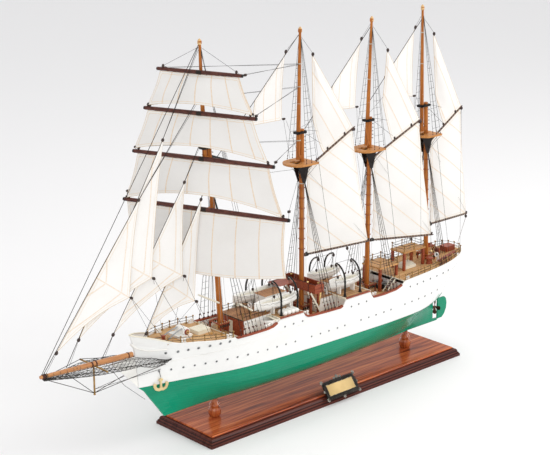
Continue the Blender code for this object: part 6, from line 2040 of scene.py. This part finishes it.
# ends of the raft canisters, and their cradles
ends, cradles = [], []
for side in (-1, 1):
    for k in range(4):
        x = -.1195 + .0088 * k
        z = sheerAt(x) + boatDeckRise + .0036
        ends.append(spot((x, side * .0478, z), (0, side, 0), 1.0))
        ends.append(spot((x, side * .0342, z), (0, -side, 0), 1.0))
    cradles.append(boxShape((-.1235, side * .0410 - .0040, sheerAt(-.11) + .0022),
        (-.0890, side * .0410 + .0040, sheerAt(-.11) + .0031), .0002))
setOut("canisterEnds", turnedShape([(.0041, -.0014), (.0042, -.0002), (.0036, .0010),
    (.0022, .0018), (.0008, .0021)], 20), ends, "whitePaint")
pieceFrom("canisterCradles", cradles, "creamPaint")
print("stage: boats and davits")

# Windlass, hatch and the fittings of the forecastle
wx, wz = -.2985, deckZ(-.303) + .0085
shell = shifted(turnedShape([(.0064, -.0108), (.0070, -.0104), (.0070, .0104), (.0064, .0108)],
    28), (wx, 0, wz), Matrix.Rotation(math.pi / 2, 4, "X"))
skirt = boxShape((wx - .0070, -.0107, deckZ(wx) + .0004), (wx + .0070, .0107, wz), .0006)
bed = boxShape((-.3165, -.0164, deckZ(-.305) - .0012), (-.2896, .0164, deckZ(-.3165) + .0030),
    .0007)
pieceFrom("windlassCasing", gather([shell, skirt, bed]), "whitePaint")
discs = [spot((wx, side * .0106, wz), (0, side, 0), 1.0) for side in (-1, 1)]
setOut("windlassDrums", turnedShape([(.0044, 0), (.0047, .0006), (.0047, .0016), (.0040, .0022),
    (.0034, .0018)], 24), discs, "redPaint")
setOut("windlassHubs", turnedShape([(.0018, .0010), (.0018, .0030), (.0012, .0036)], 14), discs,
    "blackIron")
chain = []
for side in (-1, 1):
    start = Vector((wx - .0050, side * .0058, wz + .0052))
    end = Vector((-.3330, side * .0078, deckZ(-.333) + .0006))
    chain.append([start + (end - start) * (k / 10)
        + Vector((0, 0, .0016 * math.sin(math.pi * k / 10))) for k in range(11)])
laidStrips("windlassStraps", chain, .0030, .0007, "zinc", .0002)
linkSpots = []
for side in (-1, 1):
    for k in range(16):
        x = -.3330 - .0026 * k
        linkSpots.append(spot((x, side * (.0078 + .0003 * k), deckZ(x) + .0005), (0, 0, 1), .0011,
            roll=(k % 2) * .4))
setOut("anchorChain", turnedShape([(.55, -.4), (1, -.2), (1, .2), (.55, .4)], 8), linkSpots,
    "blackIron")
hatchZ = deckZ(-.27)
hatch = [boxShape((-.2756, -.0114, hatchZ - .0006), (-.2494, .0114, hatchZ + .0062), .0006),
    boxShape((-.2764, -.0122, hatchZ + .0058), (-.2486, .0122, hatchZ + .0070), .0004)]
for k in range(5):
    y = -.0096 + .0048 * k
    hatch.append(boxShape((-.2748, y - .0006, hatchZ + .0068), (-.2502, y + .0006, hatchZ + .0076),
        .0002))
pieceFrom("hatchLid", hatch, "creamPaint")

# pin rails round the masts, with brass pins and the coils of line that hang on them
posts, rails, pins, coils = [], [], [], []
for mast, z, rise in (("fore", deckZ(-.2340), .0110), ("main", .1497, .0140),
        ("mizzen", .1503, .0140), ("jigger", deckZ(.278), .0110)):
    x = mastX(mast, z)
    if mast == "fore":
        x = -.2215
    for dx in (-.0082, .0082):
        for y in (-.0130, .0130):
            posts.append(boxShape((x + dx - .0011, y - .0011, z + .0001),
                (x + dx + .0011, y + .0011, z + rise), .0003))
    for y in (-.0130, .0130):
        rails.append(boxShape((x - .0112, y - .0018, z + rise - .0004),
            (x + .0112, y + .0018, z + rise + .0010), .0003))
        for k in range(5):
            pins.append(spot((x - .0088 + .0044 * k, y, z + rise - .0030), (0, 0, 1), 1.0))
            coils.append(spot((x - .0088 + .0044 * k, y * 1.12, z + rise - .0034),
                (.2, 1 if y > 0 else -1, .1), (.0015, .0024, .0010)))
    for dx in (-.0082, .0082):
        rails.append(boxShape((x + dx - .0014, -.0130, z + rise - .0006),
            (x + dx + .0014, .0130, z + rise + .0006), .0002))
pieceFrom("pinRails", gather(posts + rails), "mahogany")
pin = turnedShape([(.00020, 0), (.00035, .0004), (.00035, .0034), (.00060, .0040), (.00070, .0052),
    (.00040, .0062)], 8)
setOut("belayingPins", pin, pins, "brightBrass")
setOut("lineCoils", turnedShape([(.55, -.6), (1, -.4), (1, .4), (.55, .6)], 12), coils,
    "tarredLine")
# halyards that come down by each mast to its pins
falls = []
for mast, topZ in (("fore", .4640), ("main", .4560), ("mizzen", .4520), ("jigger", .4560)):
    x = -.2215 if mast == "fore" else mastX(mast, .16)
    z = deckZ(-.2340) + .0110 if mast == "fore" else (.1645 if mast != "jigger"
        else deckZ(.278) + .0110)
    for side in (-1, 1):
        for k in range(3):
            if mast != "fore" and k == 2:        # a boom sweeps abaft these masts
                continue
            top = Vector((mastX(mast, topZ - .06) + .0022 * (k - 1), side * .0052, topZ - .06))
            spread = .0022 if mast == "jigger" else .0066    # clear of the mizzen boom's end
            falls.append(([top, Vector((x + spread * (k - 1), side * .0130, z))], .00022))
laidLines("mastFalls", falls, "greyLine", 4)

# brass cleats at the foremast's foot, then the fore house's front, screens, door and black rail
cleat = gather([boxShape((-.0030, -.0006, .0012), (.0030, .0006, .0021), .0003),
    boxShape((-.0011, -.0006, 0), (.0011, .0006, .0014), .0002)])
cleatSpots = [spot((x, y, deckZ(x) + .0001), (0, 0, 1), 1.25, front=(1, .4, 0))
    for x, y in ((-.2370, -.0240), (-.2370, .0240), (-.2420, -.0310), (-.2420, .0310),
    (-.2360, -.0380), (-.2360, .0380), (-.2530, -.0180), (-.2530, .0180))]
setOut("deckCleats", cleat, cleatSpots, "brightBrass")
face, half, foot, roof = -.1960, .0290, .1520, .1790
front = [boxShape((face - .0006, -half, foot), (face + .0001, half, roof - .0002), .0002)]
for side in (-1, 1):
    y = side * (half + .0004)
    front.append(boxShape((face - .0024, y - .0014, foot - .0004),
        (face + .0006, y + .0014, roof + .0016), .0003))
    front.append(boxShape((-.2185, side * .0400 - .0072, .1515),
        (-.2170, side * .0400 + .0072, .1640), .0002))
pieceFrom("houseFront", front, "mahogany")
pieceFrom("frontDoor", boxShape((face - .0011, -.0045, .1535), (face - .0003, .0045, .1740),
    .0002), "creamPaint")
laidLines("houseRail", [([Vector((face - .0012, y, roof + .0014)) for y in (-half, half)], .0008)],
    "blackIron", 8)
# cream booms: one lashed before the foremast, one over the house and one on each curved wall
rods = [((-.2335, .0375, .2168), (-.2335, -.0146, .2162)),
    ((-.1800, .0010, .1985), (-.1800, -.0345, .1955)),
    ((-.1440, -.0170, .1768), (-.1440, -.0530, .1748)),
    ((-.1440, .0170, .1768), (-.1440, .0530, .1748))]
rodLines = []
for a, b in rods:
    a, b = Vector(a), Vector(b)
    rodLines.append(([a, a.lerp(b, .04), a.lerp(b, .96), b], (.0011, .0015, .0016, .0012)))
laidLines("creamBooms", rodLines, "creamPaint", 10)
props = []
for share in (.15, .80):
    at = Vector(rods[1][0]).lerp(Vector(rods[1][1]), share)
    props.append(([Vector((at.x, at.y, .1792 if abs(at.y) < .029 else .1540)), at], .00045))
laidLines("boomProps", props, "blackIron")
print("stage: forecastle fittings")

# The bridge: capping rail, a board and a locker, line, speaking tubes and a brace
ax, bx, hy, rim = -.0440, -.0235, .0400, .2070
capping = [boxShape((x0, y0, rim - .0004), (x1, y1, rim + .0007), .0002)
    for x0, y0, x1, y1 in ((ax - .0006, -hy - .0006, ax + .0018, hy + .0006),
    (bx - .0018, -hy - .0006, bx + .0006, hy + .0006), (ax, -hy - .0006, bx, -hy + .0018),
    (ax, hy - .0018, bx, hy + .0006))]
capping += [boxShape((-.0860, .0015, .2052), (-.0460, .0330, .2060), .0002),
    boxShape((-.0330, -.0235, .1942), (-.0270, -.0175, .2010), .0004)]
pieceFrom("bridgeCapping", capping, "mahogany")
laidLines("bridgeLine", [([Vector((ax + .0004, y, rim + .0010)) for y in (-hy, hy)], .00045),
    ([Vector((ax - .0020, -.0250, .2070)), Vector((ax - .0020, -.0250, .1700))], .0005)],
    "blackIron")
brass = [spot((-.0300, y, .1938), (0, 0, 1), 1.0) for y in (-.0330, .0330)]
setOut("bridgeTubes", turnedShape([(.0012, 0), (.0008, .0008), (.0007, .0110), (.0014, .0124),
    (.0022, .0140), (.0020, .0142), (.0004, .0128)], 12), brass, "brightBrass")
wedge = [[(-.0268, y, .1660), (-.0228, y, .1922), (-.0195, y, .1922), (-.0238, y, .1660)]
    for y in (-.0305, -.0275)]
pieceFrom("bridgeBrace", loftShape(wedge), "brightBrass")

# Steps: after well to poop, fore well to forecastle, middle well to bridge
ladders, treads = [], []
for foot, head, wide in (((.1370, .0300, .1506), (.1615, .0300, .1722), .0085),
        ((-.1995, .0380, .1520), (-.2300, .0380, .1668), .0080),
        ((-.0230, .0300, .1510), (-.0480, .0300, .1925), .0075)):
    for side in (-1, 1):
        a = Vector((foot[0], side * foot[1], foot[2]))
        b = Vector((head[0], side * head[1], head[2]))
        for y in (-wide / 2, wide / 2):
            ladders.append([a + Vector((0, y, .0010)), b + Vector((0, y, .0010))])
        count = 7
        for k in range(1, count):
            at = a.lerp(b, k / count)
            treads.append(boxShape((at.x - .0016, at.y - wide / 2 + .0003, at.z + .0004),
                (at.x + .0016, at.y + wide / 2 - .0003, at.z + .0011), .0001))
laidStrips("ladderSides", ladders, .0009, .0030, "creamPaint", .0002)
pieceFrom("ladderTreads", treads, "darkBoom")

# Poop: skylight, cowls, benches, helm, binnacle and drum
z = deckZ(.222)
skyRings = []
for height, dx, dy in ((.0002, .0143, .0133), (.0046, .0143, .0133), (.0088, .0123, .0033)):
    skyRings.append([(.222 + sx * dx, sy * dy, z + height)
        for sx, sy in ((-1, -1), (1, -1), (1, 1), (-1, 1))])
skyPieces = [loftShape(skyRings)]
for side in (-1, 1):
    for k in range(7):
        x = .2100 + .0040 * k
        skyPieces.append(loftShape([[(x + dx, side * y, z + dz)
            for dx, dz in ((-.0005, low), (.0005, low), (.0005, high), (-.0005, high))]
            for y, low, high in ((.0132, .0047, .0056), (.0034, .0088, .0096))]))
pieceFrom("skylightFrame", skyPieces, "creamPaint")


def cowlShape():
    # a ventilator: an upright pipe that bends forward into a bell
    rings = []
    for radius, x, z, lean in ((.0026, 0, 0, 0), (.0030, 0, .0006, 0), (.0021, 0, .0012, 0),
            (.0021, 0, .0078, 0), (.0024, -.0004, .0098, 20), (.0030, -.0018, .0116, 50),
            (.0040, -.0040, .0124, 80), (.0043, -.0050, .0124, 84), (.0036, -.0049, .0124, 84),
            (.0020, -.0026, .0120, 70)):
        a = math.radians(lean)
        ring = []
        for k in range(14):
            t = math.tau * k / 14
            u, v = radius * math.cos(t), radius * math.sin(t)
            ring.append((x + u * math.cos(a), v, z + u * math.sin(a)))
        rings.append(ring)
    return loftShape(rings)


cowls = [spot((x, y, z), (0, 0, 1), size, front=(1, 0, 0))
    for x, y, z, size in ((.2840, -.0240, deckZ(.284), 1.1), (.2840, .0240, deckZ(.284), 1.1),
    (-.1520, 0, .1797, .9), (.0080, -.0140, .1742, .9), (.0080, .0140, .1742, .9),
    (-.0820, -.0230, .1752, 1.0), (-.0820, .0230, .1752, 1.0))]
setOut("cowls", cowlShape(), cowls, "whitePaint")
# a dark disc in each bell's mouth: painted shade for the hollow inside the cowl
setOut("cowlMouths", turnedShape([(.0020, -.0002), (.0020, .0002)], 12),
    [spot(Vector(c[0]) + Vector((-.0029, 0, .0121)) * c[2][0], (-1, 0, .3), c[2][0])
    for c in cowls], "greyGlass")
benches = []
for side in (-1, 1):
    a, b = Vector((.2700, side * .0385, 0)), Vector((.3280, side * .0270, 0))
    for across, low, high, wide in ((0, .0064, .0080, .0040), (.0036, .0078, .0112, .0009)):
        rings = []
        for p in (a, b):
            zb = deckZ(p.x)
            y = p.y + side * across
            rings.append(plankEnd(p.x, y, wide, zb + low, zb + high))
        benches.append(loftShape(rings))
    for k in range(3):
        p = a.lerp(b, .1 + .4 * k)
        benches.append(boxShape((p.x - .0008, p.y - .0036, deckZ(p.x)),
            (p.x + .0008, p.y + .0036, deckZ(p.x) + .0066), .0002))
lockerZ = deckZ(.337)
benches += [boxShape((.3252, -.0086, lockerZ + .0006), (.3488, .0086, lockerZ + .0098), .0006),
    boxShape((.3244, -.0094, lockerZ + .0094), (.3496, .0094, lockerZ + .0106), .0004)]
pieceFrom("poopBenches", benches, "mahogany")
drum = turnedShape([(.0064, 0), (.0064, .0008), (.0050, .0036), (.0053, .0088), (.0072, .0098),
    (.0072, .0112), (.0060, .0118)], 20)
setOut("capstans", drum, [spot((.2645, -.0200, deckZ(.2645) - .0002), (0, 0, 1)),
    spot((-.3370, 0, deckZ(-.337) - .0002), (0, 0, 1), .55)], "mahogany")
helmAt = Vector((.3030, 0, deckZ(.303)))
helmAxle = .0098                            # height of the wheel's middle


def helmPoint(radius, turn):
    return helmAt + Vector((0, radius * math.cos(turn), helmAxle + radius * math.sin(turn)))


wheel = [helmPoint(.0062, math.tau * k / 24) for k in range(24)]
spokes = [([helmAt + Vector((0, 0, helmAxle)), helmPoint(.0086, math.tau * k / 8)], .00040)
    for k in range(8)]
laidLines("helm", [(wheel + wheel[:1], .0007)] + spokes
    + [([helmAt + Vector((x, 0, helmAxle)) for x in (-.0010, .0050)], .0011)], "darkSpar", 8)
pieceFrom("helmBox", boxShape(helmAt + Vector((.0022, -.0036, 0)),
    helmAt + Vector((.0100, .0036, .0126)), .0008), "mahogany")
setOut("binnacles", turnedShape([(.0028, 0), (.0028, .0010), (.0014, .0020), (.0012, .0072),
    (.0028, .0086), (.0030, .0108), (.0022, .0126), (.0006, .0136)], 16),
    [spot((.2920, 0, deckZ(.292)), (0, 0, 1)), spot((-.0330, -.0100, .1938), (0, 0, 1), .9)],
    "brightBrass")
# winches: two drums on a bed under the mizzen platform, a drum in the after and the middle well
winch = [boxShape((.1440, -.0130, .1502), (.1700, .0130, .1520), .0003),
    boxShape((.1470, -.0120, .1518), (.1480, -.0100, .1630), .0002),
    boxShape((.1660, -.0120, .1518), (.1670, -.0100, .1630), .0002)]
pieceFrom("winchBed", winch, "blackIron")
setOut("winchDrums", turnedShape([(.0046, -.0100), (.0046, -.0088), (.0024, -.0082),
    (.0024, .0082), (.0046, .0088), (.0046, .0100)], 16),
    [spot((.1570, -.0070, .1580), (1, 0, 0)), spot((.1570, .0070, .1580), (1, 0, 0)),
    spot((.1000, .0, .1560), (0, 1, 0)), spot((-.0600, 0, .1560), (0, 1, 0))], "zinc")
print("stage: poop fittings")

# Nameplate: a bare brass plate in a pewter frame of scrolls and leaves
plateSetup = {"x": -.007, "width": .0615, "height": .0195, "lean": math.radians(36.5),
    "rim": .0042, "foot": (-.0743, .0126)}
lean = plateSetup["lean"]
plateUp = Vector((0, math.sin(lean), math.cos(lean)))
plateOut = Vector((0, -math.cos(lean), math.sin(lean)))
plateFoot = Vector((plateSetup["x"], *plateSetup["foot"]))


def platePoint(across, up, out=0.0):
    return plateFoot + Vector((across, 0, 0)) + plateUp * up + plateOut * out


half, tall, rimWide = plateSetup["width"] / 2, plateSetup["height"], plateSetup["rim"]
corners = [(-half, rimWide), (half, rimWide), (half, rimWide + tall), (-half, rimWide + tall)]
rings = [[platePoint(a * shrink, rimWide + tall / 2 + (b - rimWide - tall / 2) * shrink, out)
    for a, b in corners] for shrink, out in ((1, .0004), (1, .0012), (.97, .0015))]
pieceFrom("blankPlate", loftShape(rings), "plateBrass")
scrolls, leaves = [], []
plateRng = random.Random(9)
border = []
for ring, beyond, count in ((0, .0022, 24), (1, .0058, 28)):
    for k in range(count):
        a = (-half - beyond) + 2 * (half + beyond) * k / (count - 1)
        border.append((a, rimWide - beyond * .92, 0, ring))
        border.append((a, rimWide + tall + beyond * .92, math.pi, ring))
    for k in range(1, 9):
        border.append((-half - beyond, rimWide + tall * k / 9, -math.pi / 2, ring))
        border.append((half + beyond, rimWide + tall * k / 9, math.pi / 2, ring))
for a, b, turn, ring in border:
    reach = plateRng.uniform(.0017, .0027) * (1.15 if ring else 1)
    points = []
    for k in range(9):
        t = turn + math.pi * 1.6 * k / 8 + plateRng.uniform(-.2, .2)
        r = reach * (1 - k / 11)
        points.append(platePoint(a + r * math.cos(t), b + r * math.sin(t), .0007 + .00016 * k))
    scrolls.append((points, [.00095 - .00006 * k for k in range(9)]))
top = rimWide + tall
for a, b, size in ((0, top + .0092, .0042), (-.0070, top + .0072, .0030),
        (.0070, top + .0072, .0030), (0, rimWide - .0078, .0036),
        (-half - .0068, top + .0066, .0038), (half + .0068, top + .0066, .0038),
        (-half - .0062, rimWide - .0056, .0036), (half + .0062, rimWide - .0056, .0036),
        (-half * .5, top + .0056, .0022), (half * .5, top + .0056, .0022),
        (-half - .0076, rimWide + tall * .5, .0026), (half + .0076, rimWide + tall * .5, .0026)):
    for k in range(6):
        t = math.tau * k / 6 + .3
        at = platePoint(a + .50 * size * math.cos(t), b + .50 * size * math.sin(t), .0008)
        leaves.append(spot(at, plateOut, (size * .55, size * .32, size * .40),
            front=Vector((math.cos(t), 0, 0)) + plateUp * math.sin(t)))
backing = [(-half - .0060, rimWide - .0052), (half + .0060, rimWide - .0052),
    (half + .0062, top + .0048), (.010, top + .0060), (0, top + .0090), (-.010, top + .0060),
    (-half - .0062, top + .0048)]
pieceFrom("plateBacking", loftShape([[platePoint(a, b, out) for a, b in backing]
    for out in (-.0020, -.0004)]), "darkPewter")
laidLines("plateScrolls", scrolls, "darkPewter")
# the leaves are in lighter pewter: rubbed bright by wear, and a painted highlight on the dark frame
setOut("plateLeaves", turnedShape([(.3, -.6), (.8, -.3), (1, 0), (.8, .35), (.3, .6)], 10), leaves,
    "wornPewter")
beadSpots = []
for k in range(52):
    a = -half - .0004 + (2 * half + .0008) * k / 51
    for b in (rimWide - .0003, rimWide + tall + .0003):
        beadSpots.append(spot(platePoint(a, b, .0012), plateOut, .00050))
for k in range(1, 16):
    b = rimWide + tall * k / 16
    for a in (-half - .0004, half + .0004):
        beadSpots.append(spot(platePoint(a, b, .0012), plateOut, .00050))
setOut("plateBeads", turnedShape([(.4, -.8), (1, -.2), (.9, .4), (.4, .8)], 8), beadSpots, "zinc")
print("stage: nameplate")


# The floor
floorSetup = {"size": 40.0, "colour": (0.86, 0.855, 0.85), "rough": 0.55}


def addFloor(setup):
    half = setup["size"] / 2
    paper = Finish("paleFloor", Roughness=setup["rough"])
    cloud = paper.noise((1.2, 1.2, 1.2), detail=2.0)
    tint = paper.blend(cloud * 0.2, setup["colour"], tuple(c * 0.97 for c in setup["colour"]))
    paper.send(tint)
    mesh = meshOf("floor", [(-half, -half, 0), (half, -half, 0), (half, half, 0),
        (-half, half, 0)], [(0, 1, 2, 3)], paper.material, 0)
    ob = bpy.data.objects.new("floor", mesh)
    bpy.context.collection.objects.link(ob)


addFloor(floorSetup)
print("stage: floor")
